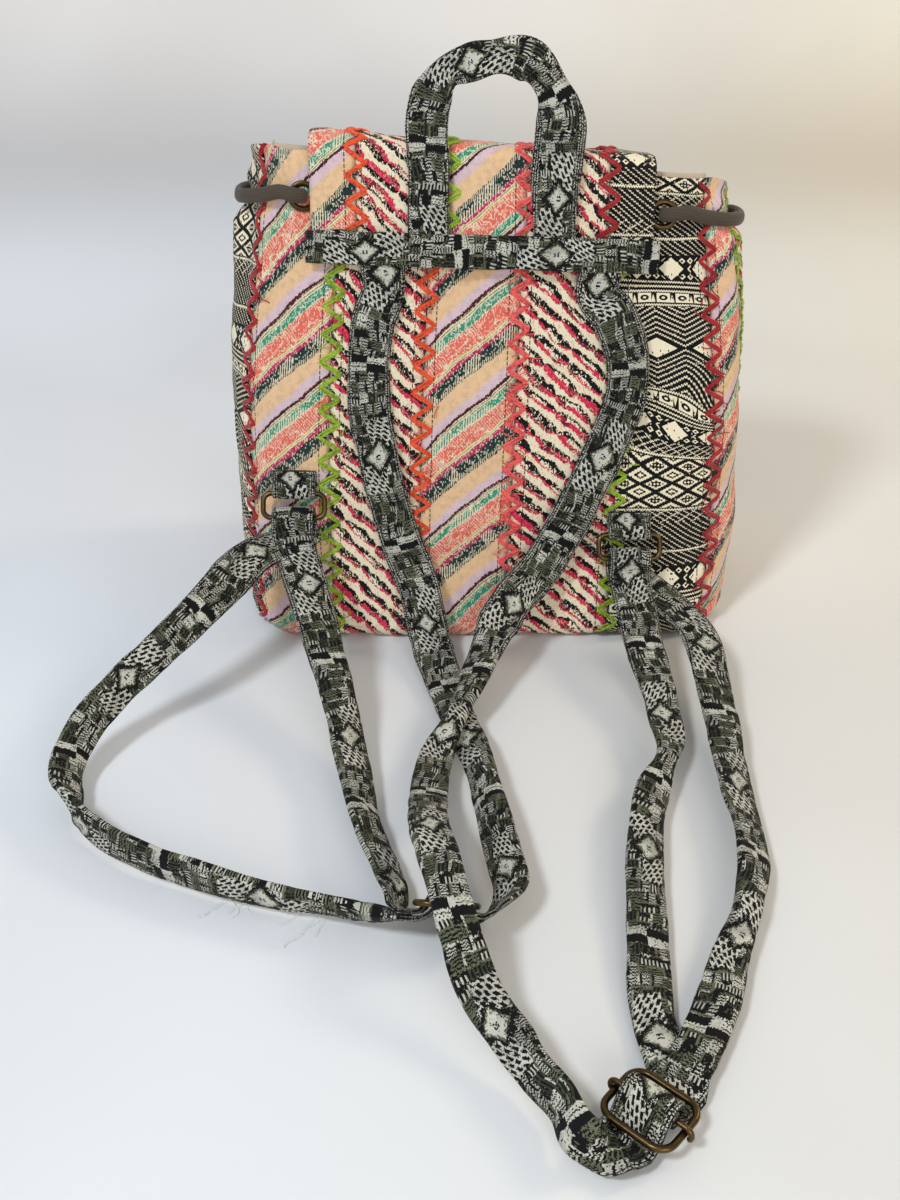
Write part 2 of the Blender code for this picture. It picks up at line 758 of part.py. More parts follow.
def band_stack(x):
    """How far the band stands off, raised where a strap end or a handle foot lies under it."""
    raised = 0.0
    for centre, width in under_band():
        raised = max(raised, 1 - ease((abs(x - centre) - width / 2 - 0.003) / 0.006))
    return ON_FLAP + (STRAP_THICKNESS + GAP + (HANDLE_THICKNESS - STRAP_THICKNESS)) * raised


def under_band():
    half = HANDLE_SPACING / 2
    return (
        (-STRAP_EXIT, STRAP_WIDTH),
        (STRAP_EXIT, STRAP_WIDTH),
        (-half, HANDLE_WIDTH),
        (half, HANDLE_WIDTH),
    )


def make_band(parts):
    half = FLAP_WIDTH / 2 + BAND_OVERHANG
    columns = 36
    rows = []
    for k in range(3):
        height = BAND_CENTRE + BAND_HEIGHT * (k / 2 - 0.5)
        row = []
        for i in range(columns + 1):
            x = FLAP_CENTRE - half + 2 * half * i / columns
            row.append(off_panel(x, height, band_stack(x) + BAND_THICKNESS / 2))
        rows.append(row)
    obj = add_object("anchor_band", grid_mesh("anchor_band", rows), "tapestry_webbing", parts)
    solidify(obj, BAND_THICKNESS)
    smooth_shade(obj)


def ribbon(name, stations, width, thickness, step, parts):
    """A flat strap through stations of a point and the direction of its width."""
    places = [place for place, across in stations]
    widths = [across.normalized() for place, across in stations]
    centres, across = [], []
    for i in range(len(places) - 1):
        count = max(1, math.ceil((places[i + 1] - places[i]).length / step))
        for k in range(count):
            across.append(widths[i].lerp(widths[i + 1], k / count))
    across.append(widths[-1])
    centres = catmull(places, step)
    rows = []
    for i, (centre, wide) in enumerate(zip(centres, across)):
        along = (centres[min(i + 1, len(centres) - 1)] - centres[max(i - 1, 0)]).normalized()
        wide = (wide - along * wide.dot(along)).normalized()
        rows.append((centre - wide * width / 2, centre + wide * width / 2))
    obj = add_object(name, grid_mesh(name, rows), "tapestry_webbing", parts)
    solidify(obj, thickness)
    smooth_shade(obj)
    return obj


def handle_stations():
    """The top handle: two feet under the band and a loop that stands up in the plane of the rear panel."""
    half = HANDLE_SPACING / 2
    out = ON_FLAP + HANDLE_THICKNESS / 2
    low = BAND_CENTRE - BAND_HEIGHT / 2 + 0.002
    base = off_panel(0, PANEL_LENGTH, out + 0.0015)
    rise = Vector((0, math.sin(PANEL_LEAN), math.cos(PANEL_LEAN)))
    top = HANDLE_REACH - (PANEL_LENGTH - BAND_CENTRE)
    leg = [(low, 0)]
    for share, nudge in ((0.175, 0), (0.40, 0.0010), (0.85, 0.0015)):
        leg.append((BAND_CENTRE + BAND_BELOW_MOUTH * share, nudge))
    side = [off_panel(-half, height, out + nudge) for height, nudge in leg]
    side += [
        base + rise * top * 0.22 + Vector((-half - 0.0005, 0, 0)),
        base + rise * top * 0.52 + Vector((-half * 0.96, 0, 0)),
        base + rise * top * 0.82 + Vector((-half * 0.74, 0, 0)),
        base + rise * top * 0.97 + Vector((-half * 0.36, 0, 0)),
    ]
    other = [off_panel(half, height, out + nudge) for height, nudge in leg]
    other += [
        base + rise * top * 0.22 + Vector((half + 0.0005, 0, 0)),
        base + rise * top * 0.52 + Vector((half * 1.04, 0, 0)),
        base + rise * top * 0.84 + Vector((half * 0.80, 0, 0)),
        base + rise * top * 0.98 + Vector((half * 0.36, 0, 0)),
    ]
    route = side + [base + rise * top] + list(reversed(other))
    facing = Vector((0, -math.cos(PANEL_LEAN), math.sin(PANEL_LEAN)))
    return with_normal(route, [facing] * len(route))


def with_normal(route, normals):
    """Stations whose width lies square to the route and to the given face direction."""
    stations = []
    for i, (place, normal) in enumerate(zip(route, normals)):
        along = (route[min(i + 1, len(route) - 1)] - route[max(i - 1, 0)]).normalized()
        stations.append((place, along.cross(normal)))
    return stations


def make_handle(parts):
    ribbon("top_handle", handle_stations(), HANDLE_WIDTH, HANDLE_THICKNESS, 0.007, parts)


def local_frame(origin, along, across, up):
    def to_world(x, y, z):
        return origin + across * x + along * y + up * z

    return to_world


def rounded_loop(width, height, corner, count):
    """Points of a rounded rectangle round the origin, for the middle line of a wire."""
    points = []
    for quarter in range(4):
        angle = math.pi / 2 * quarter
        sx = 1 if quarter in (0, 3) else -1
        sy = 1 if quarter in (0, 1) else -1
        cx, cy = sx * (width / 2 - corner), sy * (height / 2 - corner)
        for k in range(count + 1):
            turn = angle + math.pi / 2 * k / count
            points.append((cx + corner * math.cos(turn), cy + corner * math.sin(turn)))
    return points


class Ring:
    """A rectangular ring held in a sewn tab: where its bars are and which way it hangs."""

    def __init__(self, tab):
        x, height = tab
        self.normal = (off_panel(x, height, 1.0) - off_panel(x, height, 0.0)).normalized()
        side = Vector((1, 0, 0))
        self.side = (side - self.normal * side.dot(self.normal)).normalized()
        self.down = self.side.cross(self.normal).normalized()
        if self.down.z > 0:
            self.down = -self.down
        self.seat = off_panel(x, height, 0.0)
        self.pivot = self.seat + self.normal * RING_STANDOFF
        self.hang = self.down * math.cos(RING_TILT) + self.normal * math.sin(RING_TILT)
        self.bars_apart = RING_HEIGHT - 2 * WIRE_RADIUS
        self.low_bar = self.pivot + self.hang * self.bars_apart

    def at(self, out, down, across=0.0):
        """A point by its distances from the pivot: off the panel, down it and across it."""
        return self.pivot + self.normal * out + self.down * down + self.side * across


def make_ring(name, ring, parts):
    anchor = bpy.data.objects.new(name + "_axis", None)
    parts.objects.link(anchor)
    anchor.location = ring.pivot
    wide = RING_WIDTH - 2 * WIRE_RADIUS
    high = ring.bars_apart
    points = []
    for x, y in rounded_loop(wide, high, RING_CORNER, 4):
        points.append(ring.side * x + ring.hang * (high / 2 - y))
    obj = tube(name, points, WIRE_RADIUS, "antique_brass", parts, 2, cyclic=True)
    obj.parent = anchor


def make_tab(name, ring, parts):
    """A loop of cloth round the ring's upper bar, sewn to the panel above it."""
    wrap = WIRE_RADIUS + WIRE_CLEARANCE + TAB_THICKNESS / 2
    near = CLOTH / 2 + GAP + TAB_THICKNESS / 2 - RING_STANDOFF
    far = near + TAB_THICKNESS + GAP
    profile = [(far, -TAB_LENGTH), (far, -TAB_LENGTH * 0.6), (far * 0.2 + wrap * 0.6, -TAB_LENGTH * 0.34)]
    for k in range(9):
        angle = math.radians(35 - 250 * k / 8)
        profile.append((wrap * math.cos(angle), -wrap * math.sin(angle)))
    profile += [(near, -TAB_LENGTH * 0.42), (near, -TAB_LENGTH * 0.7), (near, -TAB_LENGTH)]
    half = TAB_WIDTH / 2
    rows = [(ring.at(out, down, -half), ring.at(out, down, half)) for out, down in profile]
    obj = add_object(name, grid_mesh(name, rows), "tapestry_webbing", parts)
    solidify(obj, TAB_THICKNESS)
    smooth_shade(obj)


class Slider:
    """A wire buckle: a rounded frame with a bar hooked over its two sides, and a strap through it."""

    def __init__(self, centre, along, up):
        self.along = along.normalized()
        self.up = (up - self.along * up.dot(self.along)).normalized()
        self.across = self.along.cross(self.up).normalized()
        self.place = local_frame(centre, self.along, self.across, self.up)
        self.bar_lift = WIRE_RADIUS + SLIDER_BAR_RADIUS + GAP
        self.long_bar = SLIDER_HEIGHT / 2 - WIRE_RADIUS
        self.half_strap = STRAP_THICKNESS / 2
        self.under = WIRE_RADIUS + 2 * WIRE_CLEARANCE + self.half_strap
        self.loop = SLIDER_BAR_RADIUS + WIRE_CLEARANCE + self.half_strap
        self.over = self.loop + STRAP_THICKNESS + WIRE_CLEARANCE

    def running(self):
        """The strap's way through: under one long bar, over the middle bar and under the other."""
        way = [(-self.long_bar - 0.004, -self.under)]
        for angle in (-90, -62, -38):
            turn = math.radians(angle)
            way.append((-self.long_bar + self.under * math.cos(turn), self.under * math.sin(turn)))
        for angle in (140, 115, 90, 65, 40):
            turn = math.radians(angle)
            way.append((self.over * math.cos(turn), self.bar_lift + self.over * math.sin(turn)))
        for angle in (-142, -118, -90):
            turn = math.radians(angle)
            way.append((self.long_bar + self.under * math.cos(turn), self.under * math.sin(turn)))
        way.append((self.long_bar + 0.007, -self.under))
        return [(self.place(0, y, z), self.across) for y, z in way]

    def sewn(self):
        """The strap's end: under the far long bar and the running strap, then once round the middle bar."""
        deep = self.under + STRAP_THICKNESS + WIRE_CLEARANCE
        way = [(self.long_bar + 0.007, -deep), (self.long_bar, -deep)]
        way += [(self.long_bar * 0.62, -deep * 0.72), (self.long_bar * 0.30, -deep * 0.22)]
        for angle in (-90, -125, -160, -195, -230, -265, -295):
            turn = math.radians(angle)
            way.append((self.loop * math.cos(turn), self.bar_lift + self.loop * math.sin(turn)))
        return [(self.place(0, y, z), self.across) for y, z in way]


def make_slider(side, slider, parts):
    wide = SLIDER_WIDTH - 2 * WIRE_RADIUS
    high = SLIDER_HEIGHT - 2 * WIRE_RADIUS
    frame = [slider.place(x, y, 0) for x, y in rounded_loop(wide, high, SLIDER_CORNER, 5)]
    tube(f"{side}_slider_frame", frame, WIRE_RADIUS, "antique_brass", parts, 2, cyclic=True)
    hook = slider.bar_lift
    bar = []
    for k in range(5):
        turn = math.radians(-40 + 130 * k / 4)
        bar.append((wide / 2 + hook * math.cos(turn), hook * math.sin(turn)))
    points = [slider.place(x, 0, z) for x, z in bar]
    points += [slider.place(-x, 0, z) for x, z in reversed(bar)]
    tube(f"{side}_slider_bar", points, SLIDER_BAR_RADIUS, "antique_brass", parts, 2)


def ring_loop(ring, front_first):
    """The strap's fold over the ring's lower bar, with room for the ring to swing."""
    clear = WIRE_RADIUS + SWING_CLEARANCE + STRAP_THICKNESS / 2
    top = WIRE_RADIUS + LIFT_CLEARANCE + STRAP_THICKNESS / 2
    low_out = (ring.low_bar - ring.pivot).dot(ring.normal)
    low_down = (ring.low_bar - ring.pivot).dot(ring.down)
    way = [(clear, 0.009), (clear, 0.001)]
    for angle in (30, 60, 90, 120, 150):
        turn = math.radians(angle)
        way.append((clear * math.cos(turn), -top * math.sin(turn)))
    way += [(-clear, 0.001), (0.0015 - clear, 0.009)]
    if not front_first:
        way.reverse()
    return [(ring.at(low_out + out, low_down + down), Vector((1, 0, 0))) for out, down in way]


def lying(points, flipped=False):
    """Free stations of (x, y, z, roll in degrees). A roll lowers the strap's right-hand edge."""
    route = [Vector(point[:3]) for point in points]
    stations = []
    for i, (place, point) in enumerate(zip(route, points)):
        along = (route[min(i + 1, len(route) - 1)] - route[max(i - 1, 0)]).normalized()
        face = Vector((0, 0, -1 if flipped else 1))
        face = (face - along * face.dot(along)).normalized()
        wide = along.cross(face)
        roll = math.radians(point[3])
        stations.append((place, wide * math.cos(roll) - face * math.sin(roll)))
    return stations


def on_panel(places, out):
    """Stations on the rear panel: from its centre line, from its foot and how far lifted off."""
    route = [off_panel(x, height, out + lift) for x, height, lift in places]
    normals = [(off_panel(x, h, 1.0) - off_panel(x, h, 0.0)).normalized() for x, h, lift in places]
    return with_normal(route, normals)


def band_end(x):
    """The strap's end under the band, and its step down on to the panel."""
    half = STRAP_THICKNESS / 2
    high = BAND_CENTRE + BAND_HEIGHT / 2 - 0.002
    low = BAND_CENTRE - BAND_HEIGHT / 2
    route = [
        off_panel(x, high, ON_FLAP + half),
        off_panel(x, low, ON_FLAP + half),
        off_panel(x, low - 0.012, CLOTH / 2 + GAP + half + 0.001),
    ]
    normal = off_panel(x, low, 1.0) - off_panel(x, low, 0.0)
    return with_normal(route, [normal.normalized()] * 3)


LEFT_ON_PANEL = (
    (-0.0575, 0.163, 0),
    (-0.0600, 0.130, 0),
    (-0.0555, 0.098, 0),
    (-0.0480, 0.066, 0.001),
    (-0.0400, 0.042, 0.003),
    (-0.0350, 0.028, 0.007),
)
RIGHT_ON_PANEL = (
    (0.0600, 0.170, 0),
    (0.0670, 0.152, 0),
    (0.0680, 0.134, 0),
    (0.0620, 0.114, 0),
    (0.0500, 0.086, 0.001),
    (0.0380, 0.060, 0.003),
    (0.0240, 0.038, 0.008),
    (0.0110, 0.026, 0.020),
)
LEFT_TO_SLIDER = (
    (-0.0310, -0.0750, 0.0140, 8),
    (-0.0263, -0.0950, 0.0080, 15),
    (-0.0173, -0.1333, 0.0050, 12),
    (-0.0069, -0.1777, 0.0095, 50),
    (-0.0012, -0.2150, 0.0112, 64),
    (0.0030, -0.2440, 0.0112, 64),
    (0.0045, -0.2630, 0.0115, 55),
)
LEFT_TO_RING = (
    (-0.0440, -0.2560, 0.0115, 50),
    (-0.0560, -0.2200, 0.0110, 40),
    (-0.0640, -0.1800, 0.0120, 25),
    (-0.0740, -0.1400, 0.0240, 12),
    (-0.0860, -0.1020, 0.0400, 5),
)
LEFT_OUTER_LOOP = (
    (-0.1171, -0.0760, 0.0580, -20),
    (-0.1310, -0.1008, 0.0540, -35),
    (-0.1516, -0.1293, 0.0430, -45),
    (-0.1740, -0.1487, 0.0290, -55),
    (-0.1882, -0.1698, 0.0180, -65),
    (-0.1896, -0.1944, 0.0120, -72),
    (-0.1771, -0.2184, 0.0112, -75),
    (-0.1525, -0.2384, 0.0112, -75),
    (-0.1216, -0.2530, 0.0112, -72),
    (-0.0921, -0.2640, 0.0112, -65),
    (-0.0636, -0.2710, 0.0108, -55),
)
RIGHT_TO_SLIDER = (
    (-0.0010, -0.1050, 0.0215, 20),
    (-0.0101, -0.1320, 0.0160, 20),
    (-0.0187, -0.1557, 0.0130, 12),
    (-0.0265, -0.1779, 0.0100, 0),
    (-0.0292, -0.2079, 0.0140, -5),
    (-0.0277, -0.2480, 0.0310, 0),
    (-0.0220, -0.2790, 0.0360, 0),
    (-0.0167, -0.3010, 0.0290, 5),
    (-0.0094, -0.3180, 0.0180, 20),
    (0.0015, -0.3357, 0.0130, 45),
    (0.0096, -0.3500, 0.0115, 62),
    (0.0178, -0.3620, 0.0112, 66),
    (0.0244, -0.3764, 0.0108, 62),
)
RIGHT_TO_RING = (
    (0.0640, -0.3440, 0.0062, 0),
    (0.0745, -0.3247, 0.0062, 0),
    (0.0868, -0.2960, 0.0070, 8),
    (0.0993, -0.2652, 0.0090, 25),
    (0.1060, -0.2373, 0.0100, 35),
    (0.1064, -0.1944, 0.0100, 25),
    (0.1069, -0.1429, 0.0150, 12),
    (0.1045, -0.0980, 0.0240, 8),
    (0.0915, -0.0740, 0.0290, 0),
)
RIGHT_RETURN = (
    (0.0740, -0.0740, 0.0330, 0),
    (0.0766, -0.1067, 0.0230, 0),
    (0.0805, -0.1414, 0.0150, 0),
    (0.0800, -0.1719, 0.0120, -20),
    (0.0676, -0.2055, 0.0110, -35),
    (0.0610, -0.2411, 0.0090, -25),
    (0.0570, -0.2838, 0.0060, -10),
    (0.0550, -0.3175, 0.0032, 0),
    (0.0570, -0.3380, 0.0032, 0),
)


def make_straps(parts, rings, sliders):
    half = STRAP_THICKNESS / 2
    lie = CLOTH / 2 + GAP + half + 0.001
    left = band_end(-STRAP_EXIT) + on_panel(LEFT_ON_PANEL, lie) + lying(LEFT_TO_SLIDER)
    left += sliders["left"].running() + lying(LEFT_TO_RING)
    left += ring_loop(rings["left"], True) + lying(LEFT_OUTER_LOOP, True)
    left += list(sliders["left"].sewn())
    ribbon("left_shoulder_strap", left, STRAP_WIDTH, STRAP_THICKNESS, STRAP_STEP, parts)
    right = band_end(STRAP_EXIT) + on_panel(RIGHT_ON_PANEL, lie) + lying(RIGHT_TO_SLIDER)
    right += sliders["right"].running() + lying(RIGHT_TO_RING)
    right += ring_loop(rings["right"], False) + lying(RIGHT_RETURN, True)
    right += list(sliders["right"].sewn())
    ribbon("right_shoulder_strap", right, STRAP_WIDTH, STRAP_THICKNESS, STRAP_STEP, parts)


def main():
    clear_scene()
    parts = new_collection("patchwork_backpack")
    cutters = new_collection("cutters")
    eyelet_cutters = make_eyelet_cutters(cutters)
    make_base(parts)
    make_strips(parts, eyelet_cutters)
    make_lining(parts, eyelet_cutters)
    make_eyelets(parts)
    make_drawstring(parts)
    make_flap(parts)
    make_snap(parts)
    make_band(parts)
    make_handle(parts)
    rings = {"left": Ring(LEFT_TAB), "right": Ring(RIGHT_TAB)}
    sliders = {
        "left": Slider(LEFT_SLIDER, Vector((-1, 0.10, 0)), Vector((0, 0.70, 0.71))),
        "right": Slider(RIGHT_SLIDER, Vector((0.66, 0.75, 0)), UP),
    }
    for side in ("left", "right"):
        make_ring(f"{side}_ring", rings[side], parts)
        make_tab(f"{side}_ring_tab", rings[side], parts)
        make_slider(side, sliders[side], parts)
    make_straps(parts, rings, sliders)


main()
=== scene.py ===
"""Dresses the patchwork backpack: woven cloths, floss, padded straps, worn brass, light and camera."""

import math

import bmesh
import bpy
import numpy as np
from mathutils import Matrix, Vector, noise


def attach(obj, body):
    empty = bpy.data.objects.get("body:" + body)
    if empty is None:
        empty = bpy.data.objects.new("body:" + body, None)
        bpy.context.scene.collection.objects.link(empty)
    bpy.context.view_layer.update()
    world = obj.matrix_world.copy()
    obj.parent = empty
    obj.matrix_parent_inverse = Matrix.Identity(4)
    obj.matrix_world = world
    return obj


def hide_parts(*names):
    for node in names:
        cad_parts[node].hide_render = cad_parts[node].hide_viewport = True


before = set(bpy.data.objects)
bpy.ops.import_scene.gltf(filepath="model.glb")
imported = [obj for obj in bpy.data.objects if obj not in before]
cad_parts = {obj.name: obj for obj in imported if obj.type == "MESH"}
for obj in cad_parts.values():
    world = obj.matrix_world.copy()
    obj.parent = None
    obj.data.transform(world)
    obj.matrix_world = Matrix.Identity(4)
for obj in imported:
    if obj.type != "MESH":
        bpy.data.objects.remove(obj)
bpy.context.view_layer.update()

BAG = "bag"
UP = Vector((0, 0, 1))

# Sizes that part.py has too
PANEL_LENGTH = 0.2385
PANEL_LEAN = math.radians(12.0)
BASE_WIDTH = 0.257
BELLY_WIDTH = 0.264
MOUTH_WIDTH = 0.243
BASE_DEPTH = 0.120
CINCH_DEPTH = 0.046
RUFFLE_FLARE = 0.005
CORD_WAIST = 0.006
MOUTH_TILT = 0.28
BASE_CORNER = 0.034
MOUTH_CORNER = 0.019
BOTTOM_ROUND = 0.013
REAR_BULGE = 0.004
FRONT_BULGE = 0.010
FOOT_BULGE = 0.0065
SLUMP = 0.072
CINCH = PANEL_LENGTH - 0.019
STRIP_COUNT = 15
STRIP_WIDTH = 0.0467
SEAM_REFERENCE = -0.030
SEAM_DRIFT = {-1: -0.0034, 0: -0.006, 1: -0.008, 2: -0.001, 3: 0.005}
CLOTH = 0.0012
LINING = 0.0006
PLEAT_HEIGHT = 0.005
SMOOTH_REAR = 0.100
HALF_ROUND = STRIP_COUNT * STRIP_WIDTH / 2
EYELET_HOLE = 0.0045
EYELET_FLANGE = 0.00725
EYELET_DOME = 0.0011
EYELET_LAND = 0.0085
EYELET_WASHER = 0.0008
CORD_DIAMETER = 0.0055
CORD_TAIL = 0.030
FLAP_CENTRE = -0.0042
FLAP_STRIPS = (0.0220, 0.0440, 0.0366, 0.0390, 0.0220)
FLAP_WIDTH = sum(FLAP_STRIPS)
FLAP_RISE = 0.008
FLAP_DROP = 0.108
FLAP_CORNER = 0.030
FLAP_STANDOFF = 0.004
SNAP_THICKNESS = 0.0018
STRAP_WIDTH = 0.021
STRAP_THICKNESS = 0.0024
BAND_CENTRE = PANEL_LENGTH - 0.040
BAND_HEIGHT = 0.0142
BAND_THICKNESS = 0.0018
BAND_OVERHANG = 0.0025
STRAP_EXIT = 0.052
HANDLE_SPACING = 0.060
HANDLE_REACH = 0.0858
HANDLE_THICKNESS = 0.0026
HANDLE_WIDTH = 0.020
WIRE_RADIUS = 0.00135
RING_WIDTH = 0.034
RING_HEIGHT = 0.015
RING_CORNER = 0.004
RING_TILT = math.radians(21.0)
RING_STANDOFF = 0.0052
TAB_WIDTH = 0.022
TAB_THICKNESS = 0.0012
TAB_LENGTH = 0.011
SLIDER_WIDTH = 0.030
SLIDER_HEIGHT = 0.026
SLIDER_CORNER = 0.006
SLIDER_BAR_RADIUS = 0.0011
LEFT_TAB = (-0.0985, 0.0800)
RIGHT_TAB = (0.0720, 0.0585)
LEFT_SLIDER = Vector((-0.0208, -0.2737, 0.0150))
RIGHT_SLIDER = Vector((0.0479, -0.3634, 0.0088))
GAP = 0.0003
WIRE_CLEARANCE = 0.0004
SWING_CLEARANCE = 0.0029
LIFT_CLEARANCE = 0.0021
LINING_INSIDE = CLOTH / 2 + GAP + LINING / 2
FLAP_LINING_OUT = CLOTH / 2 + GAP + EYELET_DOME + GAP + LINING / 2
FLAP_OUT = FLAP_LINING_OUT + LINING / 2 + 2 * GAP + CLOTH / 2
FLAP_ROOT = BAND_CENTRE - BAND_HEIGHT / 2 + 0.001
ON_FLAP = FLAP_OUT + CLOTH / 2 + GAP
SNAP_STACK = CLOTH / 2 + LINING / 2 + 2 * SNAP_THICKNESS + 4 * GAP


def ease(x):
    x = min(1.0, max(0.0, x))
    return x * x * (3 - 2 * x)


def spread(height):
    share = height / PANEL_LENGTH
    half_width = MOUTH_WIDTH / 2 + (BELLY_WIDTH - MOUTH_WIDTH) / 2 * (1 - ease((share - 0.4) / 0.6))
    return half_width - (BELLY_WIDTH - BASE_WIDTH) / 2 * (1 - ease(share / 0.25))


def envelope(height):
    half_width = spread(height) - CORD_WAIST * (1 - ease(abs(height - CINCH) / 0.016))
    drawn = ease(min(height / (CINCH - EYELET_LAND), 1.0) ** 1.6)
    depth = BASE_DEPTH + (CINCH_DEPTH - BASE_DEPTH) * drawn
    depth += RUFFLE_FLARE * ease((height - CINCH - EYELET_LAND) / (0.019 - EYELET_LAND) / 2) * 2
    corner = BASE_CORNER + (MOUTH_CORNER - BASE_CORNER) * drawn
    if height < BOTTOM_ROUND:
        tuck = BOTTOM_ROUND - math.sqrt(BOTTOM_ROUND**2 - (BOTTOM_ROUND - height) ** 2)
    else:
        tuck = 0.0
    rear = -BASE_DEPTH / 2 + height * math.sin(PANEL_LEAN) + tuck
    return half_width - tuck, depth / 2 - tuck, max(corner - tuck, 0.004), rear


def section(half_width, half_depth, corner, run):
    side = -1 if run < 0 else 1
    run = abs(run)
    flat = half_width - corner
    wall = 2 * (half_depth - corner)
    turn = corner * math.pi / 2
    if run <= flat:
        x, y, nx, ny = run, -half_depth, 0, -1
    elif run <= flat + turn:
        angle = (run - flat) / corner
        nx, ny = math.sin(angle), -math.cos(angle)
        x, y = flat + corner * nx, corner - half_depth + corner * ny
    elif run <= flat + turn + wall:
        x, y, nx, ny = half_width, run - flat - turn + corner - half_depth, 1, 0
    elif run <= flat + 2 * turn + wall:
        angle = (run - flat - turn - wall) / corner
        nx, ny = math.cos(angle), math.sin(angle)
        x, y = flat + corner * nx, half_depth - corner + corner * ny
    else:
        x, y, nx, ny = max(0.0, 2 * flat + 2 * turn + wall - run), half_depth, 0, 1
    return side * x, y, side * nx, ny


def half_girth(half_width, half_depth, corner):
    return 2 * (half_width - corner) + 2 * (half_depth - corner) + math.pi * corner


def belly(height):
    return math.sin(math.pi * min(height, CINCH) / CINCH) ** 2


def slump(x, back, height):
    return -(SLUMP * x + MOUTH_TILT * back) * (height / PANEL_LENGTH) ** 4


def seam(number):
    return SEAM_REFERENCE + number * STRIP_WIDTH


def drift(number, height):
    return SEAM_DRIFT.get(number, 0.0) * (1 - height / PANEL_LENGTH)


EYELETS = {
    "rear_left": -0.0894 * (BASE_WIDTH / 2) / spread(CINCH),
    "rear_right": 0.0821 * (BASE_WIDTH / 2) / spread(CINCH),
    "side_left": seam(-6) + STRIP_WIDTH / 2,
    "side_right": seam(6) + STRIP_WIDTH / 2,
    "front_left": seam(-7) + STRIP_WIDTH / 2,
    "front_right": seam(7) + STRIP_WIDTH / 2,
}


def wrap_girth(girth):
    return (girth + HALF_ROUND) % (2 * HALF_ROUND) - HALF_ROUND


def pleats(girth, height):
    gathered = ease((abs(girth) - SMOOTH_REAR) / 0.030) * min(height / CINCH, 1.0) ** 3
    gathered *= 1 - 0.7 * (1 - ease(abs(height - CINCH) / 0.014))
    for place in EYELETS.values():
        gathered *= ease((abs(girth - place) - 0.0125) / 0.012)
    gathered *= ease((HALF_ROUND - abs(girth) - 0.010) / 0.010)
    return PLEAT_HEIGHT * gathered


def flat_run(girth, height):
    half_width, half_depth, corner, _ = envelope(height)
    scale = spread(height) / (BASE_WIDTH / 2)
    edge = SMOOTH_REAR * scale
    if abs(girth) <= SMOOTH_REAR:
        return girth * scale
    beyond = (abs(girth) - SMOOTH_REAR) / (HALF_ROUND - SMOOTH_REAR)
    run = edge + beyond * (half_girth(half_width, half_depth, corner) - edge)
    return math.copysign(run, girth)


def wall_point(girth, height, out=0.0, pleated=True):
    girth = wrap_girth(girth)
    half_width, half_depth, corner, rear = envelope(height)
    x, y, nx, ny = section(half_width, half_depth, corner, flat_run(girth, height))
    if pleated:
        out += pleats(girth, height) * math.sin(2 * math.pi * (girth - SEAM_REFERENCE) / STRIP_WIDTH)
    across = max(0.0, 1 - (x / half_width) ** 2)
    z = height * math.cos(PANEL_LEAN) + slump(x, max(0.0, half_depth + y), height)
    y += belly(height) * across * (FRONT_BULGE if ny > 0 else -REAR_BULGE) * abs(ny)
    y += ny * FOOT_BULGE * (1 - ease(height / 0.05))
    x += nx * out
    y += ny * out
    return Vector((x, rear + half_depth + y, z))


def wall_normal(girth, height):
    step = 0.001
    along = wall_point(girth + step, height, pleated=False) - wall_point(girth - step, height, pleated=False)
    up = wall_point(girth, height + step, pleated=False) - wall_point(girth, height - step, pleated=False)
    return along.cross(up).normalized()


def off_wall(girth, height, out):
    return wall_point(girth, height, pleated=False) + wall_normal(girth, height) * out


def off_panel(x, height, out):
    return off_wall(x * (BASE_WIDTH / 2) / spread(height), height, out)


def front_point(x, height, out):
    half_width, half_depth, _, rear = envelope(height)
    across = max(0.0, 1 - (x / half_width) ** 2)
    y = rear + 2 * half_depth + belly(height) * across * FRONT_BULGE + out
    return Vector((x, y, height * math.cos(PANEL_LEAN) + slump(x, 2 * half_depth, height)))


# Shader arithmetic


class Value:
    """A shader output that takes part in arithmetic. Each step adds one node to its material."""

    def __init__(self, net, socket):
        self.net = net
        self.socket = socket

    def __add__(self, other):
        return self.net.math("ADD", self, other)

    __radd__ = __add__

    def __sub__(self, other):
        return self.net.math("SUBTRACT", self, other)

    def __rsub__(self, other):
        return self.net.math("SUBTRACT", other, self)

    def __mul__(self, other):
        return self.net.math("MULTIPLY", self, other)

    __rmul__ = __mul__

    def __truediv__(self, other):
        return self.net.math("DIVIDE", self, other)

    def __gt__(self, other):
        return self.net.math("GREATER_THAN", self, other)

    def __lt__(self, other):
        return self.net.math("LESS_THAN", self, other)

    def __pow__(self, other):
        return self.net.math("POWER", self, other)

    def fract(self):
        return self.net.math("FRACT", self)

    def floor(self):
        return self.net.math("FLOOR", self)

    def abs(self):
        return self.net.math("ABSOLUTE", self)

    def sin(self):
        return self.net.math("SINE", self)

    def max(self, other):
        return self.net.math("MAXIMUM", self, other)

    def min(self, other):
        return self.net.math("MINIMUM", self, other)

    def lines(self, period, share):
        """1 over the first share of each period."""
        return (self / period).fract() < share

    def around(self, period):
        """How far the value is from the nearest whole period, with its sign."""
        return ((self / period + 0.5).fract() - 0.5) * period

    def between(self, low, high):
        return (self > low) * (self < high)

    def step(self, low, high):
        """0 below low, 1 above high, smooth between them."""
        node = self.net.add("ShaderNodeMapRange")
        node.interpolation_type = "SMOOTHSTEP"
        self.net.link(self, node.inputs["Value"])
        self.net.link(low, node.inputs["From Min"])
        self.net.link(high, node.inputs["From Max"])
        return Value(self.net, node.outputs["Result"])


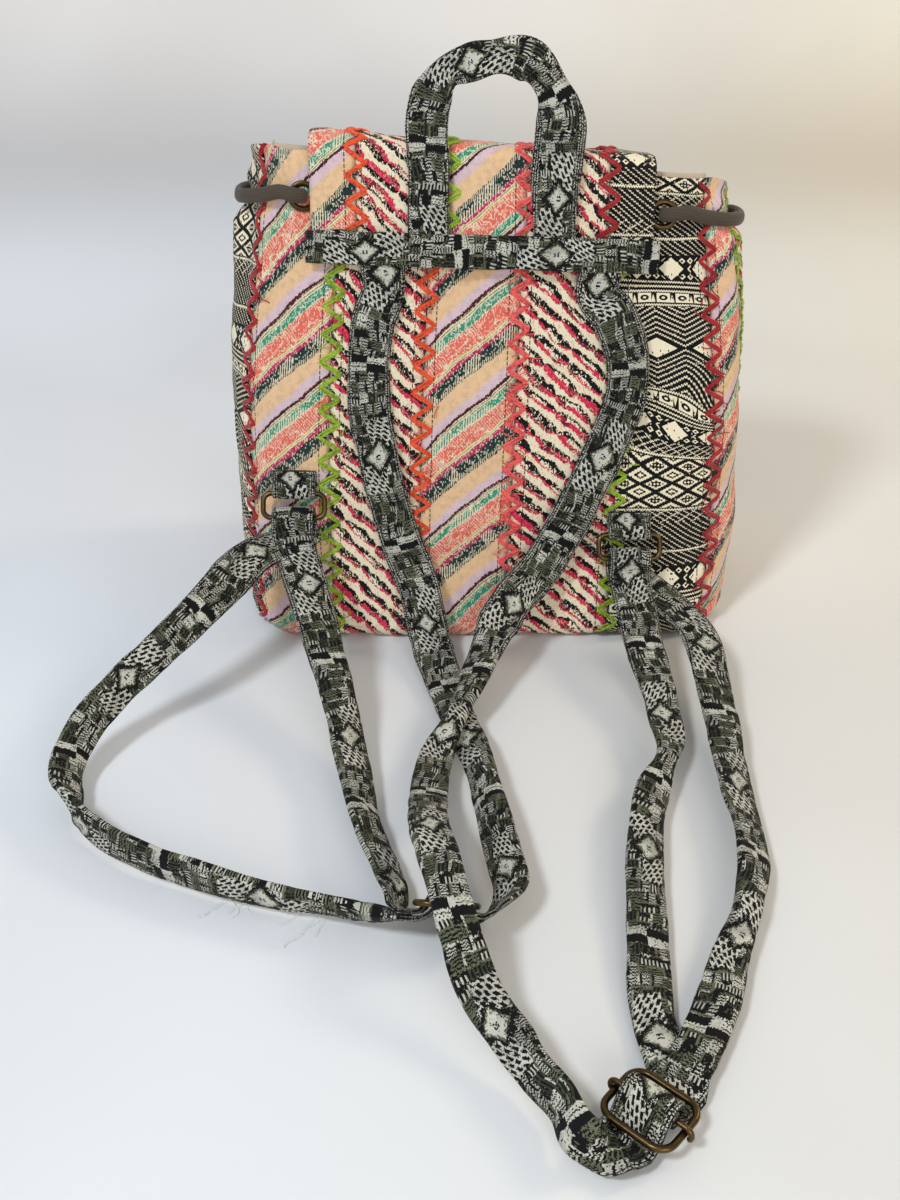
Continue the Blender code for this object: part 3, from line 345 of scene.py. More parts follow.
class Net:
    """One material: its texture coordinates, colour mixes, noises and its Principled shader."""

    def __init__(self, name, roughness=0.85, metallic=0.0):
        self.material = bpy.data.materials.new(name)
        self.material.use_nodes = True
        self.tree = self.material.node_tree
        self.shader = self.tree.nodes["Principled BSDF"]
        self.shader.inputs["Roughness"].default_value = roughness
        self.shader.inputs["Metallic"].default_value = metallic
        self.uv = self.add("ShaderNodeTexCoord")

    def add(self, kind):
        return self.tree.nodes.new(kind)

    def link(self, value, socket):
        if isinstance(value, Value):
            self.tree.links.new(value.socket, socket)
        elif isinstance(value, tuple):
            socket.default_value = (*value, 1)[:4] if len(value) == 3 else value
        else:
            socket.default_value = value

    def math(self, operation, first, second=None):
        node = self.add("ShaderNodeMath")
        node.operation = operation
        self.link(first, node.inputs[0])
        if second is not None:
            self.link(second, node.inputs[1])
        return Value(self, node.outputs[0])

    def surface(self):
        """The two lengths along the cloth, in millimetres."""
        node = self.add("ShaderNodeSeparateXYZ")
        self.tree.links.new(self.uv.outputs["UV"], node.inputs[0])
        return Value(self, node.outputs[0]) * 1000, Value(self, node.outputs[1]) * 1000

    def vector(self, x, y, z=0.0):
        node = self.add("ShaderNodeCombineXYZ")
        for value, socket in zip((x, y, z), node.inputs):
            self.link(value, socket)
        return Value(self, node.outputs[0])

    def place(self):
        """The place on the object, in metres."""
        return Value(self, self.uv.outputs["Object"])

    def noise(self, vector, scale, detail=2.0, rough=0.5):
        node = self.add("ShaderNodeTexNoise")
        self.link(vector, node.inputs["Vector"])
        node.inputs["Scale"].default_value = scale
        node.inputs["Detail"].default_value = detail
        node.inputs["Roughness"].default_value = rough
        return Value(self, node.outputs["Fac"])

    def wander(self, u, v, scale, detail, reach):
        """A slow shift, up to half of reach either way."""
        return (self.noise(self.vector(u, v), scale, detail) - 0.5) * reach

    def random(self, *parts):
        """One number from 0 to 1 for each whole-number cell."""
        node = self.add("ShaderNodeTexWhiteNoise")
        node.noise_dimensions = "3D"
        self.link(self.vector(*parts), node.inputs["Vector"])
        return Value(self, node.outputs["Value"])

    def mix(self, share, low, high):
        node = self.add("ShaderNodeMix")
        node.data_type = "RGBA"
        self.link(share, node.inputs["Factor"])
        self.link(low, node.inputs["A"])
        self.link(high, node.inputs["B"])
        return Value(self, node.outputs["Result"])

    def paint(self, base, *layers):
        """A colour with (share, colour) layers over it, in order."""
        for share, colour in layers:
            base = self.mix(share, base, colour)
        return base

    def finish(self, colour, height=None, distance=0.001, roughness=None):
        self.link(colour, self.shader.inputs["Base Color"])
        if roughness is not None:
            self.link(roughness, self.shader.inputs["Roughness"])
        if height is not None:
            bump = self.add("ShaderNodeBump")
            bump.inputs["Strength"].default_value = 1.0
            bump.inputs["Distance"].default_value = distance
            self.link(height, bump.inputs["Height"])
            self.tree.links.new(bump.outputs["Normal"], self.shader.inputs["Normal"])
        return self.material


def tone(red, green, blue):
    """A linear colour from the 0 to 255 numbers of a screen colour."""
    parts = (red / 255, green / 255, blue / 255)
    return tuple(((c + 0.055) / 1.055) ** 2.4 if c > 10 / 255 else c / 12.92 for c in parts)


# The cloths' repeats, in millimetres. The ikat's rows turn back IKAT_TURN from a lozenge and start
# again IKAT_BELOW under it.
STRIPE_REPEAT = 50.0
STRIPE_SLOPE = 0.78
DASH_REPEAT = 9.4
IKAT_REPEAT = 160.0
IKAT_LOZENGE = (18.4, 454.1)
IKAT_TURN = 69.0
IKAT_BELOW = 91.0
TAPESTRY_REPEAT = 92.0
PEACH = tone(255, 214, 168)
LILAC = tone(240, 212, 220)
MAROON = tone(84, 18, 40)
KHAKI = tone(176, 166, 116)
CREAM = tone(255, 243, 212)
TEAL = tone(62, 164, 132)
CORAL = tone(252, 122, 104)
LIME = tone(204, 200, 98)
MAGENTA = tone(206, 48, 104)
CHARCOAL = tone(30, 66, 62)
UMBER = tone(44, 42, 30)
CRIMSON = tone(222, 44, 84)
WINE = tone(132, 16, 54)
INK = tone(8, 8, 10)
CHALK = tone(214, 213, 200)
OLIVE = tone(112, 116, 92)
MOSS = tone(66, 70, 54)


def cloth_sheen(net, weight=0.12):
    net.shader.inputs["Sheen Weight"].default_value = weight
    net.shader.inputs["Sheen Roughness"].default_value = 0.5
    net.shader.inputs["Specular IOR Level"].default_value = 0.2


def weave(u, v, pitch=0.55):
    """Height of a plain weave: over and under in a checker."""
    warp = ((u / pitch) * math.pi).sin()
    weft = ((v / pitch) * math.pi).sin()
    return warp * weft * 0.5 + 0.5


def stitch_lines(u, v):
    """Dark machine stitches that run beside both edges of a strip."""
    edge = u.min(STRIP_WIDTH * 1000 - u)
    line = (edge - 5.2).abs() < 0.28
    dash = v.lines(2.6, 0.72)
    return line * dash


def stripe_material():
    """Ikat bands that climb to the right, steeper at the left seam, with edges ragged along the threads."""
    net = Net("stripe_cloth")
    cloth_sheen(net)
    u, v = net.surface()
    thread = (u / 0.5).floor()
    ragged = (net.random(thread, (v / 1.3).floor(), 3.0) - 0.5) * 1.0
    drawn = net.wander(u, v, 0.040, 1.0, 6.0)
    wobble = net.wander(u, v, 0.16, 1.0, 1.6)
    dive = net.math("EXPONENT", u * -0.13) * 5.0
    smooth_climb = v - u * STRIPE_SLOPE + dive + drawn + wobble
    climb = smooth_climb + ragged
    share = (climb / STRIPE_REPEAT).fract()
    ramp = net.add("ShaderNodeValToRGB")
    ramp.color_ramp.interpolation = "CONSTANT"
    bands = (
        (0.0, UMBER), (0.050, CHARCOAL), (0.166, MAGENTA), (0.232, LIME), (0.272, CORAL), (0.500, TEAL),
        (0.602, KHAKI), (0.648, MAROON), (0.686, LILAC), (0.792, PEACH),
    )
    stops = ramp.color_ramp.elements
    while len(stops) < len(bands):
        stops.new(0.5)
    for stop, (place, colour) in zip(stops, bands):
        stop.position = place
        stop.color = (*colour, 1)
    net.link(share, ramp.inputs[0])
    colour = Value(net, ramp.outputs[0])
    fleck = net.random(thread, (v / 0.9).floor(), 7.0)
    area = net.noise(net.vector(u + 40.0, v), 0.075, 1.0)
    # threads of cream that run with the bands, between the coral, the lime and the magenta
    lines = smooth_climb.lines(1.45, 0.40)
    threads = share.between(0.218, 0.284).max(share.between(0.590, 0.652)) * lines
    threads = threads.max(share.between(0.492, 0.512) * (fleck > 0.4))
    # upright combs of cream over the dark and the teal bands
    comb = ((u / 1.25).fract() > 0.56) * (area > 0.56)
    combs = comb * share.between(0.02, 0.19).max(share.between(0.48, 0.62))
    hatch = ((u / 0.95).fract() > 0.55) * (fleck > 0.3) * share.between(0.0, 0.055)
    # curled figures drawn in cream over the coral
    figure = net.noise(net.vector(u, v * 0.8), 0.15, 2.0, 0.55)
    scroll = ((figure - 0.5).abs() < 0.012) * share.between(0.20, 0.62) * (area < 0.56)
    slant = (v + u * 1.1).lines(1.9, 0.30)
    rubbed = slant * (fleck > 0.35) * share.between(0.272, 0.500) * (area > 0.51)
    deep = net.noise(net.vector(u, v), 0.30, 2.0)
    twill = (v - u * 0.5).lines(1.05, 0.38)
    colour = net.paint(
        net.mix(deep.step(0.40, 0.72) * 0.14, colour, INK),
        (twill * 0.13, UMBER),
        ((fleck > 0.70) * share.between(0.05, 0.17) * 0.85, INK),
        ((fleck < 0.16) * share.between(0.0, 0.66) * 0.55, CREAM),
        (hatch * 0.8, CREAM),
        (threads * 0.9, CREAM),
        (combs * 0.85, CREAM),
        (rubbed * 0.75, CREAM),
        (scroll * (fleck > 0.15) * 0.9, CREAM),
        ((fleck > 0.95) * share.between(0.05, 0.64) * 0.7, CREAM),
    )
    stitches = stitch_lines(u, v)
    colour = net.mix(stitches * 0.9, colour, INK)
    rib = weave(u, v) * 0.4 + fleck * 0.3 + twill * 0.35 + net.noise(net.vector(u, v), 1.1, 3.0) * 0.6
    return net.finish(colour, rib - stitches * 0.9, 0.0006)


def dash_material():
    """Slanting rows of long pods: crimson below, black above, on cream."""
    net = Net("dash_cloth")
    cloth_sheen(net)
    u, v = net.surface()
    thread = (u / 0.5).floor()
    ragged = (net.random(thread, (v / 1.3).floor(), 1.0) - 0.5) * 1.25
    drawn = net.wander(u, v, 0.05, 1.0, 8.0)
    wobble = net.wander(u, v, 0.20, 1.0, 2.4)
    down = v + u * 0.90 + ragged + drawn + wobble
    row = (down / DASH_REPEAT).floor()
    part = (down / DASH_REPEAT).fract()
    along = u * 0.72 - v * 0.35 + row * 5.7 + net.random(row, 4.0, 2.0) * 9.0
    pod = (along / 16.5).floor()
    run = ((along / 16.5).fract() - 0.5).abs() * 2
    fat = net.random(row, pod, 5.0) * 0.10 + 0.290
    limit = fat * ((1.0 - run ** 5).max(0.0) ** 0.5)
    off = part - 0.53 + (net.random(row, pod, 2.5) - 0.5) * 0.10
    inside = off.abs() < limit
    split = limit * (net.random(row, pod, 6.5) * 0.75 - 0.42)
    black = inside * (off > split)
    red = inside * (off < split)
    islet = (net.random(row, pod, 9.0) > 0.55) * ((off - split).abs() < limit * 0.34) * (run < 0.42)
    tick = net.random(thread, (v / 1.0).floor(), 7.0)
    warm = net.noise(net.vector(u, v), 0.10, 1.0)
    red_tone = net.mix(warm.step(0.46, 0.60), CRIMSON, WINE)
    red_tone = net.mix((tick > 0.74) * 0.55, red_tone, CORAL)
    curl = net.noise(net.vector(u, v), 0.30, 1.5)
    thin = ((curl - 0.5).abs() < 0.011) * (warm > 0.48)
    twill = (v + u * 0.6).lines(1.05, 0.38)
    colour = net.paint(
        CREAM,
        (warm.step(0.55, 0.7) * 0.30, PEACH),
        (twill * 0.08, INK),
        ((tick > 0.90) * 0.5, CORAL),
        (red, red_tone),
        (black * (tick > 0.06), INK),
        (islet * (tick > 0.25), CREAM),
        (thin * (tick > 0.2) * 0.9, CREAM),
    )
    stitches = stitch_lines(u, v)
    colour = net.mix(stitches * 0.85, colour, INK)
    rib = weave(u, v) * 0.4 + tick * 0.3 + twill * 0.3 + black * 0.3
    rib = rib + net.noise(net.vector(u, v), 1.0, 3.0) * 0.5
    return net.finish(colour, rib - stitches * 0.9, 0.0006)


def ikat_material():
    """Black and cream rows that mirror about a lozenge.

    Outwards from it: chevrons, framed oblongs, stars, a net and, below only, a flowered lattice.
    """
    net = Net("ikat_cloth")
    cloth_sheen(net, 0.08)
    u, v = net.surface()
    tick = net.random((u / 0.55).floor(), (v / 0.9).floor(), 2.0)
    middle_u, middle_v = IKAT_LOZENGE
    rise = ((v - middle_v + IKAT_BELOW) / IKAT_REPEAT).fract() * IKAT_REPEAT - IKAT_BELOW
    fall = (rise + 35.0) / 19.0
    slant = net.math("EXPONENT", fall * fall * -1.0) * 0.52
    wander = net.wander(u * 0.6, v, 0.04, 1.0, 5.0)
    level = IKAT_TURN - ((rise + slant * (u - middle_u) + wander).abs() - IKAT_TURN).abs()
    over = rise > 0
    tooth = ((u / 1.25).fract() > 0.5) * 0.42
    part = level + tooth
    beside = (u - middle_u).around(27.0).abs()
    # lozenge and the serrated chevrons round it
    gem = level + beside * 0.50
    lozenge = gem < 4.9
    chevrons = (part + beside * 0.50).lines(2.5, 0.27) * level.between(0.0, 19.6) * (gem > 6.2)
    rails = ((part - 20.7).abs() < 0.42).max((part - 27.6).abs() < 0.42).max((part - 30.0).abs() < 0.42)
    rails = rails.max((part - 32.3).abs() < 0.42).max((part - 54.4).abs() < 0.5)
    # framed oblongs
    cell = (u / 9.2).fract() * 9.2
    high = level - 24.1
    oblong = cell.between(0.7, 7.2) * (high.abs() < 2.3)
    eye_u = (cell - 3.95) / 2.1
    eye_v = high / 1.35
    eye = eye_u * eye_u + eye_v * eye_v
    oblong = oblong * (1.0 - (eye < 1.0)) + (eye < 0.16)
    wedge = ((cell - 8.2).abs() + high * 0.30) < 0.5
    oblong = oblong.max(wedge * (high.abs() < 2.3))
    # stars on black, with small squares between them
    star_u = (u - 9.5).around(17.0)
    star_v = level - 39.2
    square = star_u.abs().max(star_v.abs())
    star = (square < 3.5).max((star_u.abs() + star_v.abs()) < 6.1)
    small_u = ((u / 4.25).fract() - 0.5).abs() * 4.25
    small_v = (((level - 33.4) / 3.9).fract() - 0.5).abs() * 3.9
    small = small_u + small_v
    clear = 1.0 - ((star_u.abs() + star_v.abs()) < 8.2)
    squares = ((small < 1.75) * (small > 0.75)) * level.between(33.2, 45.2) * clear
    # fine net
    net_one = (u * 0.7 + part).lines(2.7, 0.19)
    net_two = (u * 0.7 - part).lines(5.4, 0.10) * (1.0 - over)
    mesh = net_one.max(net_two) * level.between(46.0, 53.6).max(over * (level > 55.4))
    # flowered lattice on cream
    across = ((((u - middle_u) / 15.0 + 0.5).fract() - 0.5) * 2.0).abs()
    above = ((((IKAT_TURN - level) / 9.4 + 0.5).fract() - 0.5) * 2.0).abs()
    cross = across + above + tooth * 0.16
    corner = 2.0 - cross
    ground = (level > 55.4) * (1.0 - over)
    lines = ((cross - 1.0).abs() < 0.24).max((corner - 0.30).abs() < 0.10)
    petals = ((u / 1.6).fract() - 0.5).abs() + ((level / 1.6).fract() - 0.5).abs()
    flower = (cross < 0.52) * (cross > 0.08)
    lattice = ground * (1.0 - lines.max(flower * (petals < 0.66)))
    cream = chevrons.max(lozenge).max(rails).max(oblong).max(star).max(squares).max(mesh).max(lattice)
    colour = net.paint(INK, (cream * (tick > 0.03), CREAM), ((tick > 0.99) * 0.6, CREAM))
    stitches = stitch_lines(u, v)
    colour = net.mix(stitches * 0.8, colour, INK)
    rib = weave(u, v) * 0.5 + tick * 0.25 + cream * 0.55 + net.noise(net.vector(u, v), 1.0, 3.0) * 0.4
    return net.finish(colour, rib - stitches * 0.6, 0.0006)


def tapestry_material():
    """Black, chalk and olive tapestry: a feathered star, dashed patches, then ladders and blocks."""
    net = Net("tapestry_webbing", roughness=0.8)
    cloth_sheen(net, 0.03)
    u, v = net.surface()
    drag = net.wander(u, v, 0.055, 1.5, 6.0)
    creep = net.wander(u + 200.0, v, 0.035, 1.0, 11.0)
    hairs = (net.random((v / 0.45).floor(), (u / 1.9).floor(), 5.0) - 0.5) * 0.8
    run = u + drag + hairs
    side = v + creep
    turn = (run / TAPESTRY_REPEAT).floor()
    s = ((run / TAPESTRY_REPEAT).fract() - 0.5) * TAPESTRY_REPEAT
    far = s.abs()
    right = s > 0
    tick = net.random((run / 0.5).floor(), (side / 0.6).floor(), 3.0)
    fine_along = run.lines(1.35, 0.44)
    fine_across = side.lines(1.45, 0.42)
    # feathered star with two slits
    gem = far * 0.84 + side.abs() + (tick - 0.5) * 2.2
    star = gem < 4.9
    feather = gem.between(4.9, 6.6)
    slits = ((far - 0.8).abs() < 0.34) * (side.abs() < 1.1)
    # dashed patches beside it
    slope = (side + s * 0.55) / 2.25
    dash = ((run / 3.6 + slope.floor() * 0.42).fract() < 0.68) * (slope.fract() < 0.66)
    patch = far.between(4.0, 19.0) * (gem > 8.0) * (side.abs() < 7.5) * (side * (right * 2.0 - 1.0) > -3.5)
    # bricks of ladders and blocks over the rest
    course = (run / 5.2).floor()
    brick_v = (side + 30.0 + net.random(course, turn, 1.0) * 4.6) / 4.6
    pick = net.random(course, brick_v.floor(), turn + right * 7.0)
    edge_u = (run / 5.2).fract()
    edge_v = brick_v.fract()
    along_brick = net.random(course, brick_v.floor(), 31.0) > 0.45
    border = ((edge_u < 0.17) * (1.0 - along_brick)).max((edge_v < 0.20) * along_brick)
    border_tone = net.random(course, brick_v.floor(), 11.0) > 0.5
    ladder_one = pick.between(0.26, 0.46) * fine_along
    ladder_two = pick.between(0.46, 0.64) * fine_across
    teeth_one = pick.between(0.64, 0.94) * fine_along * (edge_v > 0.40)
    teeth_two = pick.between(0.10, 0.26) * fine_across * (edge_u > 0.5)
    teeth = teeth_one.max(teeth_two)
    half_side = side * (1.0 - right * 2.0) > 0
    block = (pick > 0.95).max((far > 42.2) * half_side)
    solid = (far > 42.2) * (1.0 - half_side)
    # turned-in edges with rows of ticks
    hem = v.abs() > 8.4
    row = (v.abs() - 8.4).lines(1.1, 0.55) * run.lines(1.25, 0.62)
    colour = net.paint(
        INK,
        ((tick > 0.90) * 0.7, OLIVE),
        (ladder_one * 0.9, OLIVE),
        (ladder_two * 0.75, MOSS),
        (teeth * 0.86, CHALK),
        (border * border_tone * (tick > 0.10) * 0.9, OLIVE),
        (border * (1.0 - border_tone) * (tick > 0.45) * 0.9, CHALK),
        (block * (1.0 - (fine_along * fine_across).max(run.lines(2.7, 0.22))), CHALK),
        (solid, INK),
        (gem < 9.0, INK),
        (patch, INK),
        (patch * (1.0 - dash) * (tick > 0.05), CHALK),
        (feather * (tick > 0.35) * 0.9, OLIVE),
        (star * (tick > 0.03), CHALK),
        (slits, INK),
        (hem * 0.85, INK),
        (hem * row * (tick > 0.32) * 0.9, CHALK),
    )
    shade = net.noise(net.vector(u + 70.0, v), 0.09, 2.0).step(0.42, 0.70)
    colour = net.mix(shade * 0.34, colour, INK)
    bright = (border * 0.7).max(block.max(patch * (1.0 - dash)).max(star))
    rib = fine_along * 0.35 + tick * 0.5 + bright * 0.6 + net.noise(net.vector(u, v), 0.9, 3.0) * 0.8
    return net.finish(colour, rib, 0.0009)


def floss_material(name, colour):
    net = Net(name, roughness=0.55)
    cloth_sheen(net, 0.4)
    fine = net.noise(net.place(), 900.0, 2.0)
    coarse = net.noise(net.place(), 120.0, 1.0)
    dark = tuple(c * 0.42 for c in colour)
    shade = net.mix(fine.step(0.35, 0.62), dark, colour)
    shade = net.mix(coarse.step(0.4, 0.7) * 0.5, shade, tuple(min(1.0, c * 1.25 + 0.02) for c in colour))
    return net.finish(shade, fine, 0.0004)


def lining_material():
    net = Net("lining_cloth")
    cloth_sheen(net)
    u, v = net.surface()
    cloth = net.mix(net.noise(net.place(), 40.0, 3.0), tone(214, 200, 176), tone(190, 172, 146))
    return net.finish(cloth, weave(u, v, 0.7) + net.noise(net.place(), 500.0, 2.0), 0.0002)


def brass_material():
    """Dark antiqued brass, rubbed to gold where hands and cloth touch it."""
    net = Net("antique_brass", roughness=0.34, metallic=1.0)
    geometry = net.add("ShaderNodeNewGeometry")
    wear = Value(net, geometry.outputs["Pointiness"]).step(0.50, 0.56)
    patch = net.noise(net.place(), 160.0, 3.0).step(0.50, 0.74)
    colour = net.mix((wear * 0.35).max(patch * 0.42), tone(50, 42, 30), tone(162, 130, 82))
    rough = net.noise(net.place(), 300.0, 2.0) * 0.25 + 0.22
    return net.finish(colour, net.noise(net.place(), 700.0, 2.0), 0.00006, rough)


def cord_material():
    """Dark warm grey woven tube, with faint lengthwise ribs."""
    net = Net("cord", roughness=0.62)
    cloth_sheen(net, 0.10)
    v = net.surface()[1]
    fine = net.noise(net.place(), 1400.0, 2.0)
    ribs = ((v / 0.9).fract() - 0.5).abs() * 2
    colour = net.mix(fine * 0.6 + ribs * 0.4, tone(54, 46, 38), tone(92, 82, 70))
    return net.finish(colour, fine + ribs * 0.5, 0.00025)


def steel_material():
    net = Net("snap_steel", roughness=0.3, metallic=1.0)
    grain = net.noise(net.place(), 400.0, 2.0)
    return net.finish(net.mix(grain, tone(150, 146, 138), tone(120, 114, 104)), grain, 0.00003)


STRIPE = stripe_material()
DASH = dash_material()
IKAT = ikat_material()
TAPESTRY = tapestry_material()
LINING_LOOK = lining_material()
BRASS = brass_material()
CORD = cord_material()
STEEL = steel_material()
LIME_FLOSS = floss_material("lime_floss", tone(152, 186, 26))
ORANGE_FLOSS = floss_material("orange_floss", tone(250, 84, 30))
CORAL_FLOSS = floss_material("coral_floss", tone(252, 92, 88))
RED_FLOSS = floss_material("red_floss", tone(172, 0, 14))
CREAM_THREAD = floss_material("cream_thread", tone(255, 253, 248))
CLOTH_LOOKS = {"stripe": STRIPE, "dash": DASH, "ikat": IKAT}
FIRST_KINDS = ("stripe", "dash", "stripe", "dash", "ikat")


# Making pieces


def dress(obj, material, nodes=(), body=BAG):
    """Gives a new piece its material and body, and hides the plain solids that it stands for."""
    obj.data.materials.clear()
    obj.data.materials.append(material)
    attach(obj, body)
    if nodes:
        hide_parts(*nodes)
    return obj


def put(name, data):
    obj = bpy.data.objects.new(name, data)
    bpy.context.scene.collection.objects.link(obj)
    return obj


def mesh_object(name, bm):
    mesh = bpy.data.meshes.new(name)
    bm.to_mesh(mesh)
    bm.free()
    return put(name, mesh)


def direction(points, i):
    """The direction of a line of points at one of them."""
    return (points[min(i + 1, len(points) - 1)] - points[max(i - 1, 0)]).normalized()


def grid_object(name, points, places, closed=False, caps=(True, True)):
    """A smooth surface through rows of points, with the cloth's own lengths as its UV map."""
    bm = bmesh.new()
    layer = bm.loops.layers.uv.new("UVMap")
    lines = [[bm.verts.new(point) for point in row] for row in points]
    count = len(points[0])
    for r in range(len(lines) - 1):
        for i in range(count if closed else count - 1):
            j = (i + 1) % count
            face = bm.faces.new((lines[r][i], lines[r][j], lines[r + 1][j], lines[r + 1][i]))
            face.smooth = True
            corners = (places[r][i], places[r][j], places[r + 1][j], places[r + 1][i])
            for loop, place in zip(face.loops, corners):
                loop[layer].uv = place
    if closed:
        ends = (list(reversed(lines[0])), lines[-1])
        for line, capped in zip(ends, caps):
            if capped:
                bm.faces.new(line).smooth = False
    return mesh_object(name, bm)


def thicken(obj, thickness, offset=-1.0):
    shell = obj.modifiers.new("cloth_thickness", "SOLIDIFY")
    shell.thickness = thickness
    shell.offset = offset
    shell.use_even_offset = False


def crumple(place, seed=0.0):
    """Unevenness of soft cloth, a millimetre or two, with no dip deeper than 1.3 mm."""
    shift = Vector((seed, seed * 0.7, -seed))
    rough = (
        noise.noise(place * 17.0 + shift) * 0.0024
        + noise.noise(place * 42.0 + shift) * 0.0012
        + noise.noise(place * 110.0 + shift) * 0.0005
    )
    return max(-0.0013, rough)


def quiet(girth, height):
    """How freely the cloth may crumple: little under the flap and round the eyelets."""
    free = 1.0
    for place in EYELETS.values():
        gap = math.hypot(wrap_girth(girth - place), height - CINCH)
        free *= ease((gap - 0.008) / 0.012)
    if abs(wrap_girth(girth)) < 0.100:
        free *= 1 - 0.85 * ease((height - 0.180) / 0.012)
    return free


def free_mouth(girth, height):
    """1 on the free edge above the cord, from the rear round the two rear corners."""
    return ease((height - CINCH - 0.003) / 0.012) * (1 - ease((abs(girth) - 0.172) / 0.020))


# How far the mouth's rear corners lean in, and the lining behind them
CORNER_LEAN = 0.0065
LINING_LEAN = 0.0075
# The puckers along each seam, from one to the next
PUCKER_PITCH = 0.0127


def soften(girth, height):
    """The mouth's edge leans in at the bag's two rear corners, and its gathers flatten there."""
    free = free_mouth(girth, height)
    fullness = pleats(girth, height) * math.sin(2 * math.pi * (girth - SEAM_REFERENCE) / STRIP_WIDTH)
    return -free * fullness - CORNER_LEAN * free * ease((abs(girth) - SMOOTH_REAR) / 0.02)


def skin(girth, height, lift=0.0):
    """The outer face of the patchwork, with its seams, puckers and crumples."""
    base = wall_point(girth, height, soften(girth, height))
    normal = wall_normal(girth, height)
    number = round((wrap_girth(girth) - SEAM_REFERENCE) / STRIP_WIDTH)
    gap = wrap_girth(girth - seam(number) - drift(number, height))
    shape = crumple(base) * quiet(girth, height)
    shape -= 0.0011 * math.exp(-((gap / 0.0016) ** 2))
    pucker = math.sin(2 * math.pi * height / PUCKER_PITCH + number * 1.3)
    shape += 0.00045 * pucker * math.exp(-((gap / 0.006) ** 2))
    shape -= 0.0013 * math.exp(-(((height - 0.0125) / 0.0022) ** 2)) * min(1.0, height / 0.01)
    return base + normal * (CLOTH / 2 + shape + lift)


# Where the cloth was cut along its length, in metres, for the strips seen from behind
CUT_STRIPE = {-2: 0.1311, 0: 0.1282, 3: 0.1150}
CUT_OTHER = {-1: 0.3370, 1: 0.3000, 2: 0.3000}


def make_body():
    rows, columns = 120, 22
    for index in range(STRIP_COUNT):
        number = index - 6
        kind = FIRST_KINDS[(number + 2) % 5]
        cut = CUT_STRIPE.get(number, CUT_OTHER.get(number, 0.3 + index * 0.0137))
        points, places = [], []
        for r in range(rows + 1):
            height = 0.0010 + (PANEL_LENGTH - 0.0010) * r / rows
            first = seam(number) + drift(number, height) + 0.00012
            last = seam(number + 1) + drift(number + 1, height) - 0.00012
            line, marks = [], []
            for i in range(columns + 1):
                girth = first + (last - first) * i / columns
                line.append(skin(girth, height))
                marks.append((STRIP_WIDTH * i / columns, height + cut))
            points.append(line)
            places.append(marks)
        obj = grid_object(f"patch_{index + 1:02d}", points, places)
        thicken(obj, CLOTH)
        dress(obj, CLOTH_LOOKS[kind], [f"body_strip_{index + 1:02d}_{kind}"])


def floss_object(name, stitches, material):
    """Thick embroidery thread: each stitch is a short run that dips into the cloth at both ends."""
    curve = bpy.data.curves.new(name, "CURVE")
    curve.dimensions = "3D"
    curve.bevel_depth = 0.00060
    curve.bevel_resolution = 2
    curve.use_fill_caps = True
    for stitch in stitches:
        spline = curve.splines.new("POLY")
        spline.points.add(len(stitch) - 1)
        for slot, (point, radius) in zip(spline.points, stitch):
            slot.co = (*point, 1)
            slot.radius = radius
    curve.materials.append(material)
    return put(name, curve)


def zigzag(surface, low, high, seed):
    """A zigzag along a seam, in two strands. surface(across, along, lift) is a place on the cloth."""
    stitches = []
    along = low
    side = 1
    count = 0
    while along < high:
        count += 1
        jitter = [noise.noise(Vector((seed * 3.1, count * 1.7, k * 5.3))) for k in range(5)]
        reach = 0.0052 + jitter[0] * 0.0014
        back = 0.0052 + jitter[1] * 0.0014
        rise = 0.0064 + jitter[2] * 0.0012
        ends = (-side * back, side * reach)
        for strand in (0, 1):
            shift = (strand - 0.5) * (0.0013 + jitter[4] * 0.0006)
            stitch = []
            for k in range(7):
                part = k / 6
                across = ends[0] + (ends[1] - ends[0]) * part
                height = min(along + rise * part + shift, PANEL_LENGTH)
                lift = 0.0012 * math.sin(math.pi * part) ** 0.5 - 0.0004
                swell = 0.75 + 0.35 * math.sin(math.pi * part)
                stitch.append((surface(across, height, lift + strand * 0.0003), swell))
            stitches.append(stitch)
        along += rise + jitter[3] * 0.0006
        side = -side
    return stitches


SEAM_FLOSS = {
    -2: RED_FLOSS, -1: LIME_FLOSS, 0: ORANGE_FLOSS, 1: CORAL_FLOSS, 2: LIME_FLOSS, 3: RED_FLOSS,
    4: LIME_FLOSS, 5: ORANGE_FLOSS, 6: CORAL_FLOSS, 7: LIME_FLOSS, 8: RED_FLOSS,
    -6: LIME_FLOSS, -5: ORANGE_FLOSS, -4: CORAL_FLOSS, -3: LIME_FLOSS,
}


# How many loose ends stand off each seam that shows them
FRAYED = {-2: 26, -1: 34, 0: 30, 1: 90, 2: 26, 3: 40}
# Loose pale threads on the floor: where they start, their heading in degrees and their length
LOOSE_THREADS = (
    (-0.1089, -0.2522, 0.0040, 250, 0.02),
    (-0.1051, -0.2533, 0.0040, 300, 0.014),
    (-0.0713, -0.2618, 0.0040, 285, 0.026),
    (-0.0754, -0.2613, 0.0040, 230, 0.016),
)


def make_floss():
    for number, material in SEAM_FLOSS.items():
        def surface(across, height, lift, number=number):
            return skin(seam(number) + drift(number, height) + across, height, lift)

        stitches = zigzag(surface, 0.004, PANEL_LENGTH - 0.003, number)
        obj = floss_object(f"floss_seam_{number + 7:02d}", stitches, material)
        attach(obj, BAG)
        if number in FRAYED:
            hairs = frayed_hairs(surface, 0.006, PANEL_LENGTH - 0.045, number + 20, FRAYED[number])
            hair_object(f"frayed_seam_{number + 7:02d}", hairs, 0.00028, material)


# Flap


